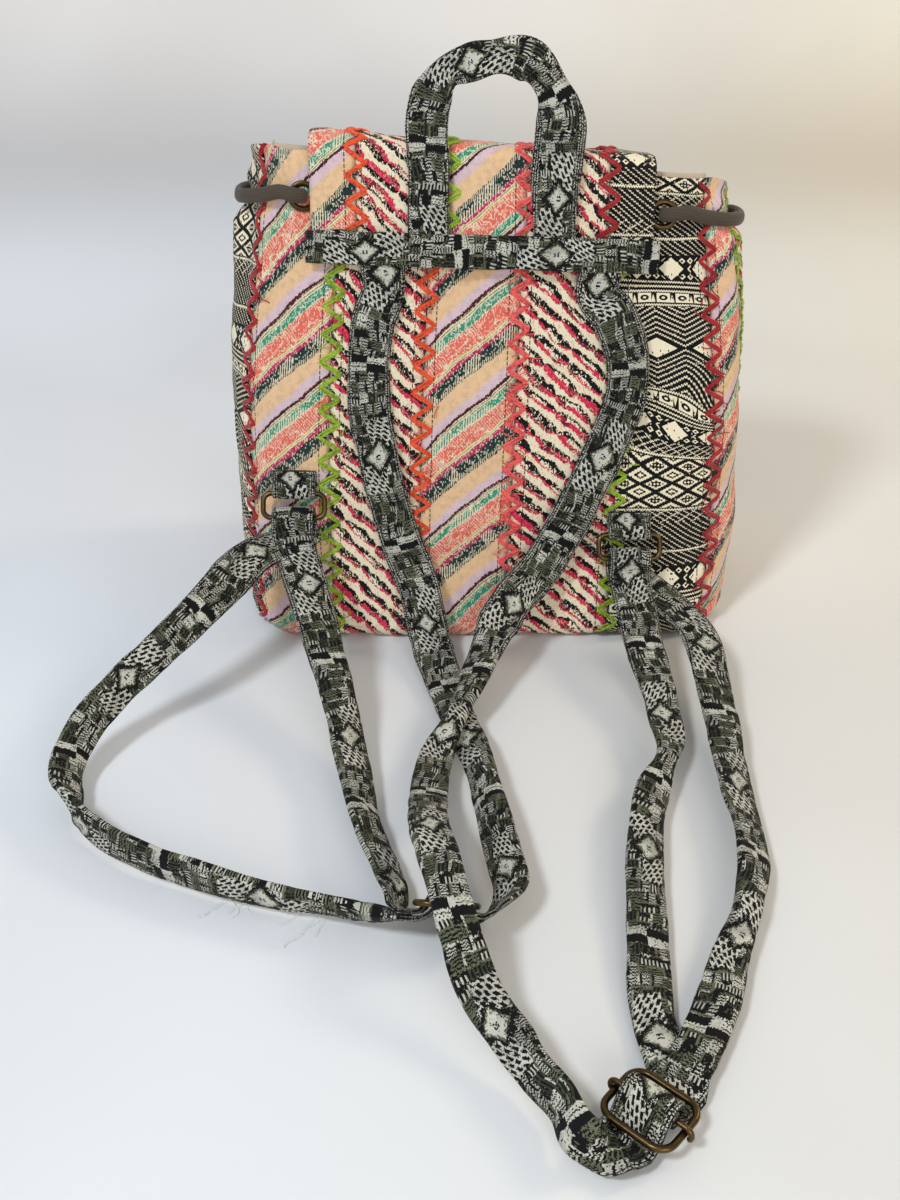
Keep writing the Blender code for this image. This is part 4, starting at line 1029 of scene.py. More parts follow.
def catmull(points, step):
    result = []
    for i in range(len(points) - 1):
        before = points[max(i - 1, 0)]
        start, end = points[i], points[i + 1]
        after = points[min(i + 2, len(points) - 1)]
        length = (end - start).length
        count = max(1, math.ceil(length / step))
        tangent_in = (end - before) * (length / max((end - before).length, 1e-9))
        tangent_out = (after - start) * (length / max((after - start).length, 1e-9))
        for k in range(count):
            t = k / count
            a = 2 * t**3 - 3 * t**2 + 1
            b = t**3 - 2 * t**2 + t
            c = -2 * t**3 + 3 * t**2
            d = t**3 - t**2
            result.append(a * start + b * tangent_in + c * end + d * tangent_out)
    result.append(points[-1].copy())
    return result


def flap_route(x):
    rise = Vector((0, math.sin(PANEL_LEAN), math.cos(PANEL_LEAN)))
    rear_top = off_panel(x, PANEL_LENGTH, FLAP_OUT) + rise * 0.003
    front_top = front_point(x, PANEL_LENGTH - 0.002, PLEAT_HEIGHT + FLAP_STANDOFF)
    foot = front_point(x, PANEL_LENGTH - FLAP_DROP, SNAP_STACK + 0.001)
    span = front_top - rear_top
    route = [off_panel(x, FLAP_ROOT + (PANEL_LENGTH - FLAP_ROOT) * i / 4, FLAP_OUT) for i in range(5)]
    route.append(rear_top)
    route.append(rear_top + span * 0.08 + UP * FLAP_RISE * 0.55)
    route.append(rear_top + span * 0.30 + UP * FLAP_RISE)
    route.append(rear_top + span * 0.62 + UP * FLAP_RISE)
    route.append(rear_top + span * 0.86 + UP * FLAP_RISE * 0.9)
    route.append(front_top + UP * FLAP_RISE * 0.4)
    for i in range(1, 6):
        drop = i / 5
        hang = front_top.lerp(foot, drop)
        clear = front_point(x, PANEL_LENGTH - FLAP_DROP * drop, SNAP_STACK + 0.001 * (2 - drop))
        route.append(Vector((x, max(hang.y, clear.y), clear.z)))
    return route


FLAP_LINES = {}


def flap_line(x):
    """Fine points along the flap's middle surface at x, with their lengths and outward normals."""
    key = round(x, 6)
    if key not in FLAP_LINES:
        points = catmull(flap_route(x), 0.0025)
        lengths = [0.0]
        for a, b in zip(points, points[1:]):
            lengths.append(lengths[-1] + (b - a).length)
        normals = []
        for i in range(len(points)):
            ahead = points[min(i + 1, len(points) - 1)] - points[max(i - 1, 0)]
            normals.append(Vector((0, -ahead.z, ahead.y)).normalized())
        FLAP_LINES[key] = (points, lengths, normals)
    return FLAP_LINES[key]


def flap_place(x, share, lift):
    points, lengths, normals = flap_line(x)
    want = lengths[-1] * min(1.0, max(0.0, share))
    i = min(max(int(np.searchsorted(lengths, want)), 1), len(points) - 1)
    part = (want - lengths[i - 1]) / max(lengths[i] - lengths[i - 1], 1e-9)
    return points[i - 1].lerp(points[i], part) + normals[i - 1].lerp(normals[i], part) * lift


def flap_end(x):
    """How much of the flap's length a place across it has, because its two lower corners are round."""
    aside = abs(x - FLAP_CENTRE) - (FLAP_WIDTH / 2 - FLAP_CORNER)
    lift = FLAP_CORNER - math.sqrt(FLAP_CORNER**2 - min(aside, FLAP_CORNER * 0.98) ** 2) if aside > 0 else 0.0
    total = flap_line(x)[1][-1]
    return (total - lift) / total


FLAP_SEAMS = [FLAP_CENTRE - FLAP_WIDTH / 2 + sum(FLAP_STRIPS[:k]) for k in range(6)]


# The flap's cloth lies the other way up: where each strip was cut along its length, in metres
FLAP_CUTS = (0.3875, 0.4200, 0.4020, 0.4310, 0.5460)


def flap_skin(x, share, lift=0.0):
    base = flap_place(x, share, 0.0)
    gap = min(abs(x - place) for place in FLAP_SEAMS[1:5])
    shape = max(-0.0004, crumple(base, 3.7) * 0.9) * ease((share - 0.16) / 0.12)
    shape -= 0.0009 * math.exp(-((gap / 0.0016) ** 2))
    length = share * flap_line(x)[1][-1]
    shape += 0.0003 * math.sin(2 * math.pi * length / 0.0127) * math.exp(-((gap / 0.006) ** 2))
    edge = min(x - FLAP_SEAMS[0], FLAP_SEAMS[5] - x)
    shape -= 0.0006 * math.exp(-((edge / 0.0014) ** 2))
    return flap_place(x, share, CLOTH / 2 + shape + lift)


def rounded_foot(share, end):
    """Draws the last part of the flap's rows together, up to its rounded end."""
    straight = 0.84
    if share > straight:
        share = straight + (share - straight) / (1 - straight) * (end - straight)
    return share


def make_flap():
    rows = 120
    for index, width in enumerate(FLAP_STRIPS):
        kind = FIRST_KINDS[index]
        columns = max(10, round(width / 0.0021))
        points, places = [], []
        for r in range(rows + 1):
            line, marks = [], []
            for i in range(columns + 1):
                x = FLAP_SEAMS[index] + 0.00015 + (width - 0.0003) * i / columns
                share = rounded_foot(r / rows, flap_end(x))
                line.append(flap_skin(x, share))
                marks.append((width * (1 - i / columns), FLAP_CUTS[index] - share * flap_line(x)[1][-1]))
            points.append(line)
            places.append(marks)
        obj = grid_object(f"flap_patch_{index + 1}", points, places)
        thicken(obj, CLOTH)
        dress(obj, CLOTH_LOOKS[kind], [f"flap_strip_{index + 1}_{kind}"])
    columns = 60
    points, places = [], []
    for r in range(rows + 1):
        line, marks = [], []
        for i in range(columns + 1):
            x = FLAP_SEAMS[0] + 0.0015 + (FLAP_WIDTH - 0.003) * i / columns
            share = rounded_foot(r / rows, flap_end(x) - 0.003)
            line.append(flap_place(x, share, FLAP_LINING_OUT - FLAP_OUT + LINING / 2))
            marks.append((FLAP_WIDTH * i / columns, share * 0.2))
        points.append(line)
        places.append(marks)
    obj = grid_object("flap_underside", points, places)
    thicken(obj, LINING)
    dress(obj, LINING_LOOK, ["flap_lining"])
    looks = (ORANGE_FLOSS, LIME_FLOSS, CORAL_FLOSS, RED_FLOSS)
    for place, material, number in zip(FLAP_SEAMS[1:5], looks, range(4)):
        total = flap_line(place)[1][-1]
        columns = [round(place + 0.0075 * k / 6, 6) for k in range(-6, 7)]

        def surface(across, height, lift, place=place, total=total, columns=columns):
            x = min(columns, key=lambda c: abs(c - place - across))
            return flap_skin(x, height / PANEL_LENGTH, lift) + Vector((place + across - x, 0, 0))

        obj = floss_object(f"floss_flap_{number + 1}", zigzag_flap(surface, total, number), material)
        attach(obj, BAG)


def hair_object(name, hairs, radius, material):
    """Loose fine threads."""
    obj = floss_object(name, [[(point, 1.0) for point in hair] for hair in hairs], material)
    obj.data.bevel_depth = radius
    obj.data.bevel_resolution = 1
    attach(obj, BAG)


def frayed_hairs(surface, low, high, seed, count):
    """Short loose ends of floss that stand off the cloth beside a seam."""
    hairs = []
    for i in range(count):
        picks = [noise.noise(Vector((seed * 7.7, i * 2.3, k * 3.1))) for k in range(6)]
        along = low + (high - low) * (i + 0.5 + picks[0]) / count
        across = picks[1] * 0.013
        turn = picks[2] * 6.0
        length = 0.0045 + abs(picks[3]) * 0.006
        hair = []
        for k in range(6):
            part = k / 5
            bend = turn + picks[4] * 2.6 * part
            place = along + math.sin(bend) * length * (part - 0.5)
            place = min(PANEL_LENGTH, max(0.002, place))
            lift = 0.0004 + 0.0016 * part * abs(picks[5] + 0.4)
            hair.append(surface(across + math.cos(bend) * length * (part - 0.5), place, lift))
        hairs.append(hair)
    return hairs


def curl(start, along, length, seed):
    """A loose thread that curls over the floor from a strap's edge."""
    points = []
    heading = math.atan2(along.y, along.x)
    place = start.copy()
    for k in range(16):
        points.append(place.copy())
        heading += 1.1 * noise.noise(Vector((seed, k * 0.55, 2.0)))
        place += Vector((math.cos(heading), math.sin(heading), 0)) * (length / 15)
        place.z = max(0.0006, place.z - 0.0007)
    return points


def make_loose_threads():
    hairs = []
    for x, y, z, heading, length in LOOSE_THREADS:
        aim = Vector((math.cos(math.radians(heading)), math.sin(math.radians(heading)), 0))
        for k in range(3):
            start = Vector((x + 0.0012 * k, y, z))
            hairs.append(curl(start, aim, length * (1 - 0.2 * k), x * 91 + k * 1.7))
    hair_object("loose_threads", hairs, 0.00011, CREAM_THREAD)


def zigzag_flap(surface, total, seed):
    """The same zigzag, with lengths along the flap turned into the shares that its surface takes."""
    scale = PANEL_LENGTH / total

    def stretched(across, along, lift):
        return surface(across, along * scale, lift)

    return zigzag(stretched, 0.014, total - 0.004, seed + 40)


# Straps


def frames_of(stations, step):
    """Fine centres along stations, with the directions of the width and the face at each."""
    places = [place for place, across in stations]
    widths = [across.normalized() for place, across in stations]
    across = []
    for i in range(len(places) - 1):
        count = max(1, math.ceil((places[i + 1] - places[i]).length / step))
        for k in range(count):
            across.append(widths[i].lerp(widths[i + 1], ease(k / count)))
    across.append(widths[-1])
    centres = catmull(places, step)
    rows = []
    for i, (centre, wide) in enumerate(zip(centres, across)):
        along = direction(centres, i)
        wide = (wide - along * wide.dot(along)).normalized()
        rows.append((centre, wide, wide.cross(along)))
    return rows


# A strap puffs up on the side that looks up and away from the bag
PUFF_SIDE = Vector((0.0, -0.50, 0.866))
# Away from the bag a strap rolls in by this share of its width
ROLL_IN = 0.20
ROLL_FROM = -0.085
# A strap on its edge stands steeper where it runs across and lies flatter where it runs away
STEEPER = 0.6
FLATTER = 0.4


def lumps(length, across, seed):
    """Height of the rumples on a strap's face: slow swells, slanting folds and small puckers."""
    swell = noise.noise(Vector((length * 42, across * 60, seed)))
    slant = noise.noise(Vector((length * 80 + across * 75, across * 40, seed + 9)))
    fold = (1 - min(1.0, abs(slant) * 3.2)) ** 2
    small = noise.noise(Vector((length * 210, across * 220, seed + 21)))
    return 0.0010 * swell - 0.0012 * fold + 0.0004 * small


def padded_strap(
    name, stations, width, thickness, puff, star, calm=(), waists=(), step=0.0018, seed=0.0
):
    """A folded cloth strap: a soft, rumpled pad.

    star is the place where a star of the tapestry falls. Each calm place and its reach is where the
    strap lies flat in a fitting. Each waist is a place, the share of the width that is left there and
    its reach along the strap.
    """
    rows = frames_of(stations, step)
    lengths = [0.0]
    for before, after in zip(rows, rows[1:]):
        lengths.append(lengths[-1] + (after[0] - before[0]).length)
    nearest = min(range(len(rows)), key=lambda r: (rows[r][0] - star).length)
    start = TAPESTRY_REPEAT / 2000 - lengths[nearest]
    around = 26
    points, places = [], []
    for length, (centre, wide, face) in zip(lengths, rows):
        tight = 0.0
        for place, reach in calm:
            tight = max(tight, 1 - ease(((centre - place).length - reach) / 0.010))
        loose = 1 - tight
        pinch = 1 - ROLL_IN * ease((ROLL_FROM - centre.y) / 0.06) * loose
        for place, share, reach in waists:
            pinch *= 1 + (share - 1) * (1 - ease((centre - place).length / reach))
        ripple = 0.075 * noise.noise(Vector((length * 48, seed, 0.3)))
        ripple += 0.05 * noise.noise(Vector((length * 140, seed, 3.3)))
        half = width / 2 * pinch * (1 + loose * ripple)
        swell = puff * loose * (0.85 + 0.5 * noise.noise(Vector((length * 36, seed, 7.1)))) / pinch
        outward = 0.5 + 0.5 * face.dot(PUFF_SIDE)
        sway = loose * 0.0007 * noise.noise(Vector((length * 55, seed + 30, 1.1)))
        line, marks = [], []
        for k in range(around):
            angle = 2 * math.pi * k / around
            c, s = math.cos(angle), math.sin(angle)
            side = 1 if s > 0 else -1
            outer = outward if s > 0 else 1 - outward
            x = half * math.copysign(abs(c) ** 0.72, c)
            thick = thickness / 2 + swell * (0.10 + 0.90 * outer)
            rumple = lumps(length, x, seed + 2.5 * side) * loose * (0.3 + 0.7 * outer)
            rumple *= min(1.0, puff / 0.0015)
            rim = math.exp(-((((half - abs(x)) - 0.0022) / 0.0009) ** 2))
            y = side * (thick + rumple * (1 - (abs(x) / half) ** 6)) * abs(s) ** 0.75
            y -= side * 0.00045 * rim * loose
            point = centre + wide * (x + sway) + face * y
            point.z = max(point.z, 0.0004)
            line.append(point)
            marks.append((length + start, x))
        points.append(line)
        places.append(marks)
    return grid_object(name, points, places, closed=True)


def local_frame(origin, along, across, up):
    def to_world(x, y, z):
        return origin + across * x + along * y + up * z

    return to_world


def rounded_loop(width, height, corner, count):
    points = []
    for quarter in range(4):
        angle = math.pi / 2 * quarter
        sx = 1 if quarter in (0, 3) else -1
        sy = 1 if quarter in (0, 1) else -1
        cx, cy = sx * (width / 2 - corner), sy * (height / 2 - corner)
        for k in range(count + 1):
            turn = angle + math.pi / 2 * k / count
            points.append((cx + corner * math.cos(turn), cy + corner * math.sin(turn)))
    return points


class Ring:
    def __init__(self, tab):
        x, height = tab
        self.normal = (off_panel(x, height, 1.0) - off_panel(x, height, 0.0)).normalized()
        side = Vector((1, 0, 0))
        self.side = (side - self.normal * side.dot(self.normal)).normalized()
        self.down = self.side.cross(self.normal).normalized()
        if self.down.z > 0:
            self.down = -self.down
        self.seat = off_panel(x, height, 0.0)
        self.pivot = self.seat + self.normal * RING_STANDOFF
        self.hang = self.down * math.cos(RING_TILT) + self.normal * math.sin(RING_TILT)
        self.bars_apart = RING_HEIGHT - 2 * WIRE_RADIUS
        self.low_bar = self.pivot + self.hang * self.bars_apart

    def at(self, out, down, across=0.0):
        return self.pivot + self.normal * out + self.down * down + self.side * across


class Slider:
    def __init__(self, centre, along, up):
        self.centre = centre
        self.along = along.normalized()
        self.up = (up - self.along * up.dot(self.along)).normalized()
        self.across = self.along.cross(self.up).normalized()
        self.place = local_frame(centre, self.along, self.across, self.up)
        self.bar_lift = WIRE_RADIUS + SLIDER_BAR_RADIUS + GAP
        self.long_bar = SLIDER_HEIGHT / 2 - WIRE_RADIUS
        self.half_strap = STRAP_THICKNESS / 2
        self.under = WIRE_RADIUS + 2 * WIRE_CLEARANCE + self.half_strap
        self.loop = SLIDER_BAR_RADIUS + WIRE_CLEARANCE + self.half_strap
        self.over = self.loop + STRAP_THICKNESS + WIRE_CLEARANCE

    def running(self):
        way = [(-self.long_bar - 0.004, -self.under)]
        for angle in (-90, -62, -38):
            turn = math.radians(angle)
            way.append((-self.long_bar + self.under * math.cos(turn), self.under * math.sin(turn)))
        for angle in (140, 115, 90, 65, 40):
            turn = math.radians(angle)
            way.append((self.over * math.cos(turn), self.bar_lift + self.over * math.sin(turn)))
        for angle in (-142, -118, -90):
            turn = math.radians(angle)
            way.append((self.long_bar + self.under * math.cos(turn), self.under * math.sin(turn)))
        way.append((self.long_bar + 0.007, -self.under))
        return [(self.place(0, y, z), self.across) for y, z in way]

    def sewn(self):
        deep = self.under + STRAP_THICKNESS + WIRE_CLEARANCE
        way = [(self.long_bar + 0.007, -deep), (self.long_bar, -deep)]
        way += [(self.long_bar * 0.62, -deep * 0.72), (self.long_bar * 0.30, -deep * 0.22)]
        for angle in (-90, -125, -160, -195, -230, -265, -295):
            turn = math.radians(angle)
            way.append((self.loop * math.cos(turn), self.bar_lift + self.loop * math.sin(turn)))
        return [(self.place(0, y, z), self.across) for y, z in way]


def ring_loop(ring, front_first):
    clear = WIRE_RADIUS + SWING_CLEARANCE + STRAP_THICKNESS / 2
    top = WIRE_RADIUS + LIFT_CLEARANCE + STRAP_THICKNESS / 2
    low_out = (ring.low_bar - ring.pivot).dot(ring.normal)
    low_down = (ring.low_bar - ring.pivot).dot(ring.down)
    way = [(clear, 0.009), (clear, 0.001)]
    for angle in (30, 60, 90, 120, 150):
        turn = math.radians(angle)
        way.append((clear * math.cos(turn), -top * math.sin(turn)))
    way += [(-clear, 0.001), (0.0015 - clear, 0.009)]
    if not front_first:
        way.reverse()
    return [(ring.at(low_out + out, low_down + down), Vector((1, 0, 0))) for out, down in way]


def with_normal(route, normals):
    stations = []
    for i, (place, normal) in enumerate(zip(route, normals)):
        along = direction(route, i)
        stations.append((place, along.cross(normal)))
    return stations


def lying(points, flipped=False):
    route = [Vector(point[:3]) for point in points]
    stations = []
    for i, (place, point) in enumerate(zip(route, points)):
        along = direction(route, i)
        face = Vector((0, 0, -1 if flipped else 1))
        face = (face - along * face.dot(along)).normalized()
        wide = along.cross(face)
        turned = STEEPER * ease((abs(along.x) - 0.2) / 0.5) - FLATTER
        roll = math.radians(point[3] * (1 + turned * ease((abs(point[3]) - 40) / 20)))
        stations.append((place, wide * math.cos(roll) - face * math.sin(roll)))
    return stations


def on_panel(places, out):
    route = [off_panel(x, height, out + lift) for x, height, lift in places]
    normals = [(off_panel(x, h, 1.0) - off_panel(x, h, 0.0)).normalized() for x, h, lift in places]
    return with_normal(route, normals)


def band_end(x):
    half = STRAP_THICKNESS / 2
    high = BAND_CENTRE + BAND_HEIGHT / 2 - 0.002
    low = BAND_CENTRE - BAND_HEIGHT / 2
    route = [
        off_panel(x, high, ON_FLAP + half),
        off_panel(x, low, ON_FLAP + half),
        off_panel(x, low - 0.012, CLOTH / 2 + GAP + half + 0.001),
    ]
    normal = off_panel(x, low, 1.0) - off_panel(x, low, 0.0)
    return with_normal(route, [normal.normalized()] * 3)


LEFT_ON_PANEL = (
    (-0.0575, 0.163, 0),
    (-0.0600, 0.130, 0),
    (-0.0555, 0.098, 0),
    (-0.0480, 0.066, 0.001),
    (-0.0400, 0.042, 0.003),
    (-0.0350, 0.028, 0.007),
)
RIGHT_ON_PANEL = (
    (0.0600, 0.170, 0),
    (0.0670, 0.152, 0),
    (0.0680, 0.134, 0),
    (0.0620, 0.114, 0),
    (0.0500, 0.086, 0.001),
    (0.0380, 0.060, 0.003),
    (0.0240, 0.038, 0.008),
    (0.0110, 0.026, 0.020),
)
LEFT_TO_SLIDER = (
    (-0.0310, -0.0750, 0.0140, 8),
    (-0.0263, -0.0950, 0.0080, 15),
    (-0.0173, -0.1333, 0.0050, 12),
    (-0.0069, -0.1777, 0.0095, 50),
    (-0.0012, -0.2150, 0.0112, 64),
    (0.0030, -0.2440, 0.0112, 64),
    (0.0045, -0.2630, 0.0115, 55),
)
LEFT_TO_RING = (
    (-0.0440, -0.2560, 0.0115, 50),
    (-0.0560, -0.2200, 0.0110, 40),
    (-0.0640, -0.1800, 0.0120, 25),
    (-0.0740, -0.1400, 0.0240, 12),
    (-0.0860, -0.1020, 0.0400, 5),
)
LEFT_OUTER_LOOP = (
    (-0.1171, -0.0760, 0.0580, -20),
    (-0.1310, -0.1008, 0.0540, -35),
    (-0.1516, -0.1293, 0.0430, -45),
    (-0.1740, -0.1487, 0.0290, -55),
    (-0.1882, -0.1698, 0.0180, -65),
    (-0.1896, -0.1944, 0.0120, -72),
    (-0.1771, -0.2184, 0.0112, -75),
    (-0.1525, -0.2384, 0.0112, -75),
    (-0.1216, -0.2530, 0.0112, -72),
    (-0.0921, -0.2640, 0.0112, -65),
    (-0.0636, -0.2710, 0.0108, -55),
)
RIGHT_TO_SLIDER = (
    (-0.0010, -0.1050, 0.0215, 20),
    (-0.0101, -0.1320, 0.0160, 20),
    (-0.0187, -0.1557, 0.0130, 12),
    (-0.0265, -0.1779, 0.0100, 0),
    (-0.0292, -0.2079, 0.0140, -5),
    (-0.0277, -0.2480, 0.0310, 0),
    (-0.0220, -0.2790, 0.0360, 0),
    (-0.0167, -0.3010, 0.0290, 5),
    (-0.0094, -0.3180, 0.0180, 20),
    (0.0015, -0.3357, 0.0130, 45),
    (0.0096, -0.3500, 0.0115, 62),
    (0.0178, -0.3620, 0.0112, 66),
    (0.0244, -0.3764, 0.0108, 62),
)
RIGHT_TO_RING = (
    (0.0640, -0.3440, 0.0062, 0),
    (0.0745, -0.3247, 0.0062, 0),
    (0.0868, -0.2960, 0.0070, 8),
    (0.0993, -0.2652, 0.0090, 25),
    (0.1060, -0.2373, 0.0100, 35),
    (0.1064, -0.1944, 0.0100, 25),
    (0.1069, -0.1429, 0.0150, 12),
    (0.1045, -0.0980, 0.0240, 8),
    (0.0915, -0.0740, 0.0290, 0),
)
RIGHT_RETURN = (
    (0.0740, -0.0740, 0.0330, 0),
    (0.0766, -0.1067, 0.0230, 0),
    (0.0805, -0.1414, 0.0150, 0),
    (0.0800, -0.1719, 0.0120, -20),
    (0.0676, -0.2055, 0.0110, -35),
    (0.0610, -0.2411, 0.0090, -25),
    (0.0570, -0.2838, 0.0060, -10),
    (0.0550, -0.3175, 0.0032, 0),
    (0.0570, -0.3380, 0.0032, 0),
)


STRAP_PUFF = 0.0027
# Where folds draw a strap together: the place, the share of its width that is left, and the reach along it
WAISTS = {
    "left": ((Vector((-0.0040, -0.1950, 0.0105)), 0.85, 0.035),),
    "right": (
        (Vector((-0.0160, -0.1480, 0.0140)), 0.62, 0.034),
        (Vector((0.0770, -0.1800, 0.0120)), 0.64, 0.024),
        (Vector((0.0990, -0.2700, 0.0090)), 0.70, 0.042),
    ),
}
STARS = {"left": Vector((-0.1690, -0.1440, 0.0320)), "right": Vector((0.0790, -0.1500, 0.0140))}


def make_straps(rings, sliders):
    lie = CLOTH / 2 + GAP + STRAP_THICKNESS / 2 + 0.0013
    left = band_end(-STRAP_EXIT) + on_panel(LEFT_ON_PANEL, lie) + lying(LEFT_TO_SLIDER)
    left += sliders["left"].running() + lying(LEFT_TO_RING)
    left += ring_loop(rings["left"], True) + lying(LEFT_OUTER_LOOP, True)
    left += sliders["left"].sewn()
    right = band_end(STRAP_EXIT) + on_panel(RIGHT_ON_PANEL, lie) + lying(RIGHT_TO_SLIDER)
    right += sliders["right"].running() + lying(RIGHT_TO_RING)
    right += ring_loop(rings["right"], False) + lying(RIGHT_RETURN, True)
    right += sliders["right"].sewn()
    for side, stations, seed in (("left", left, 1.5), ("right", right, 8.5)):
        calm = ((sliders[side].centre, 0.017), (rings[side].low_bar, 0.009))
        obj = padded_strap(
            f"{side}_strap", stations, STRAP_WIDTH, STRAP_THICKNESS, STRAP_PUFF, STARS[side],
            calm, WAISTS[side], seed=seed,
        )
        dress(obj, TAPESTRY, [f"{side}_shoulder_strap"])


# Places along the handle's arch: share of half the handle's spacing, share of its reach over the panel
HANDLE_ARCH = (
    (-1.01, 0.20), (-1.0, 0.44), (-0.94, 0.66), (-0.73, 0.87), (-0.40, 0.96), (-0.06, 1.0),
    (0.32, 1.02), (0.62, 0.96), (0.84, 0.80), (1.0, 0.60), (1.04, 0.40), (1.02, 0.20),
)
HANDLE_SHOULDERS = ((-0.75, 0.86), (0.0, 1.0), (0.80, 0.83))
HANDLE_RISE = HANDLE_REACH - (PANEL_LENGTH - BAND_CENTRE)


def handle_stations():
    half = HANDLE_SPACING / 2
    out = ON_FLAP + HANDLE_THICKNESS / 2
    low = BAND_CENTRE - BAND_HEIGHT / 2 + 0.002
    base = off_panel(0, PANEL_LENGTH, out + 0.0015)
    rise = Vector((0, math.sin(PANEL_LEAN), math.cos(PANEL_LEAN)))
    leg = [(low, 0), (BAND_CENTRE + 0.007, 0), (BAND_CENTRE + 0.016, 0.0010), (PANEL_LENGTH - 0.006, 0.0015)]
    route = [off_panel(-half, height, out + nudge) for height, nudge in leg]
    for x, share in HANDLE_ARCH:
        route.append(base + rise * HANDLE_RISE * share + Vector((half * x, 0, 0)))
    route += [off_panel(half, height, out + nudge) for height, nudge in reversed(leg)]
    facing = Vector((0, -math.cos(PANEL_LEAN), math.sin(PANEL_LEAN)))
    return with_normal(route, [facing] * len(route))


def band_stack(x):
    half = HANDLE_SPACING / 2
    raised = 0.0
    straps = ((-STRAP_EXIT, STRAP_WIDTH), (STRAP_EXIT, STRAP_WIDTH))
    for centre, width in straps + ((-half, HANDLE_WIDTH), (half, HANDLE_WIDTH)):
        raised = max(raised, 1 - ease((abs(x - centre) - width / 2 - 0.003) / 0.006))
    return ON_FLAP + (STRAP_THICKNESS + GAP + (HANDLE_THICKNESS - STRAP_THICKNESS)) * raised


BAND_STAR = -0.0600


def make_band():
    half = FLAP_WIDTH / 2 + BAND_OVERHANG
    count = 30
    stations = []
    for i in range(count + 1):
        x = FLAP_CENTRE - half + 2 * half * i / count
        middle = off_panel(x, BAND_CENTRE, band_stack(x) + BAND_THICKNESS / 2)
        above = off_panel(x, BAND_CENTRE + 0.005, band_stack(x) + BAND_THICKNESS / 2)
        stations.append((middle, above - middle))
    star = off_panel(BAND_STAR, BAND_CENTRE, ON_FLAP)
    obj = padded_strap("rear_band", stations, BAND_HEIGHT + 0.0016, BAND_THICKNESS, 0.0008, star, seed=4.5)
    dress(obj, TAPESTRY, ["anchor_band"])


def make_handle():
    half = HANDLE_SPACING / 2
    star = off_panel(half, PANEL_LENGTH - 0.013, ON_FLAP)
    wide = [(off_panel(half, PANEL_LENGTH + 0.010, ON_FLAP), 1.20, 0.034)]
    for x, share in HANDLE_SHOULDERS:
        wide.append((off_panel(half * x, PANEL_LENGTH + HANDLE_RISE * share, ON_FLAP), 0.70, 0.017))
    obj = padded_strap(
        "grab_handle", handle_stations(), HANDLE_WIDTH, HANDLE_THICKNESS, 0.0015, star, waists=wide, seed=6.5
    )
    dress(obj, TAPESTRY, ["top_handle"])


def make_tab(side, ring):
    wrap = WIRE_RADIUS + WIRE_CLEARANCE + TAB_THICKNESS / 2
    near = CLOTH / 2 + GAP + TAB_THICKNESS / 2 - RING_STANDOFF
    far = near + TAB_THICKNESS + GAP
    profile = [(far, -TAB_LENGTH), (far, -TAB_LENGTH * 0.6), (far * 0.2 + wrap * 0.6, -TAB_LENGTH * 0.34)]
    for k in range(9):
        angle = math.radians(35 - 250 * k / 8)
        profile.append((wrap * math.cos(angle), -wrap * math.sin(angle)))
    profile += [(near, -TAB_LENGTH * 0.42), (near, -TAB_LENGTH * 0.7), (near, -TAB_LENGTH)]
    stations = [(ring.at(out, down), ring.side) for out, down in profile]
    star = ring.at(far, -TAB_LENGTH * 0.7)
    obj = padded_strap(
        f"{side}_tab", stations, TAB_WIDTH, TAB_THICKNESS, 0.0001, star, step=0.0012, seed=2.2
    )
    dress(obj, TAPESTRY, [f"{side}_ring_tab"])


# Metal


def wire(name, points, radius, nodes, body=BAG, cyclic=True):
    curve = bpy.data.curves.new(name, "CURVE")
    curve.dimensions = "3D"
    curve.bevel_depth = radius
    curve.bevel_resolution = 6
    curve.use_fill_caps = not cyclic
    spline = curve.splines.new("POLY")
    spline.points.add(len(points) - 1)
    for slot, point in zip(spline.points, points):
        slot.co = (*point, 1)
    spline.use_cyclic_u = cyclic
    spline.use_smooth = True
    dress(put(name, curve), BRASS, nodes, body)


def make_ring(side, ring):
    wide = RING_WIDTH - 2 * WIRE_RADIUS
    high = ring.bars_apart
    points = []
    for x, y in rounded_loop(wide, high, RING_CORNER, 10):
        points.append(ring.pivot + ring.side * x + ring.hang * (high / 2 - y))
    wire(f"{side}_ring_wire", points, WIRE_RADIUS, [f"{side}_ring"], f"{side}_ring")


def make_slider(side, slider):
    wide = SLIDER_WIDTH - 2 * WIRE_RADIUS
    high = SLIDER_HEIGHT - 2 * WIRE_RADIUS
    loop = [slider.place(x, y, 0) for x, y in rounded_loop(wide, high, SLIDER_CORNER, 12)]
    wire(f"{side}_buckle_frame", loop, WIRE_RADIUS, [f"{side}_slider_frame"])
    hook = slider.bar_lift
    bar = []
    for k in range(13):
        turn = math.radians(-40 + 130 * k / 12)
        bar.append((wide / 2 + hook * math.cos(turn), hook * math.sin(turn)))
    points = [slider.place(x, 0, z) for x, z in bar]
    points += [slider.place(-x, 0, z) for x, z in reversed(bar)]
    wire(f"{side}_buckle_bar", points, SLIDER_BAR_RADIUS, [f"{side}_slider_bar"], cyclic=False)


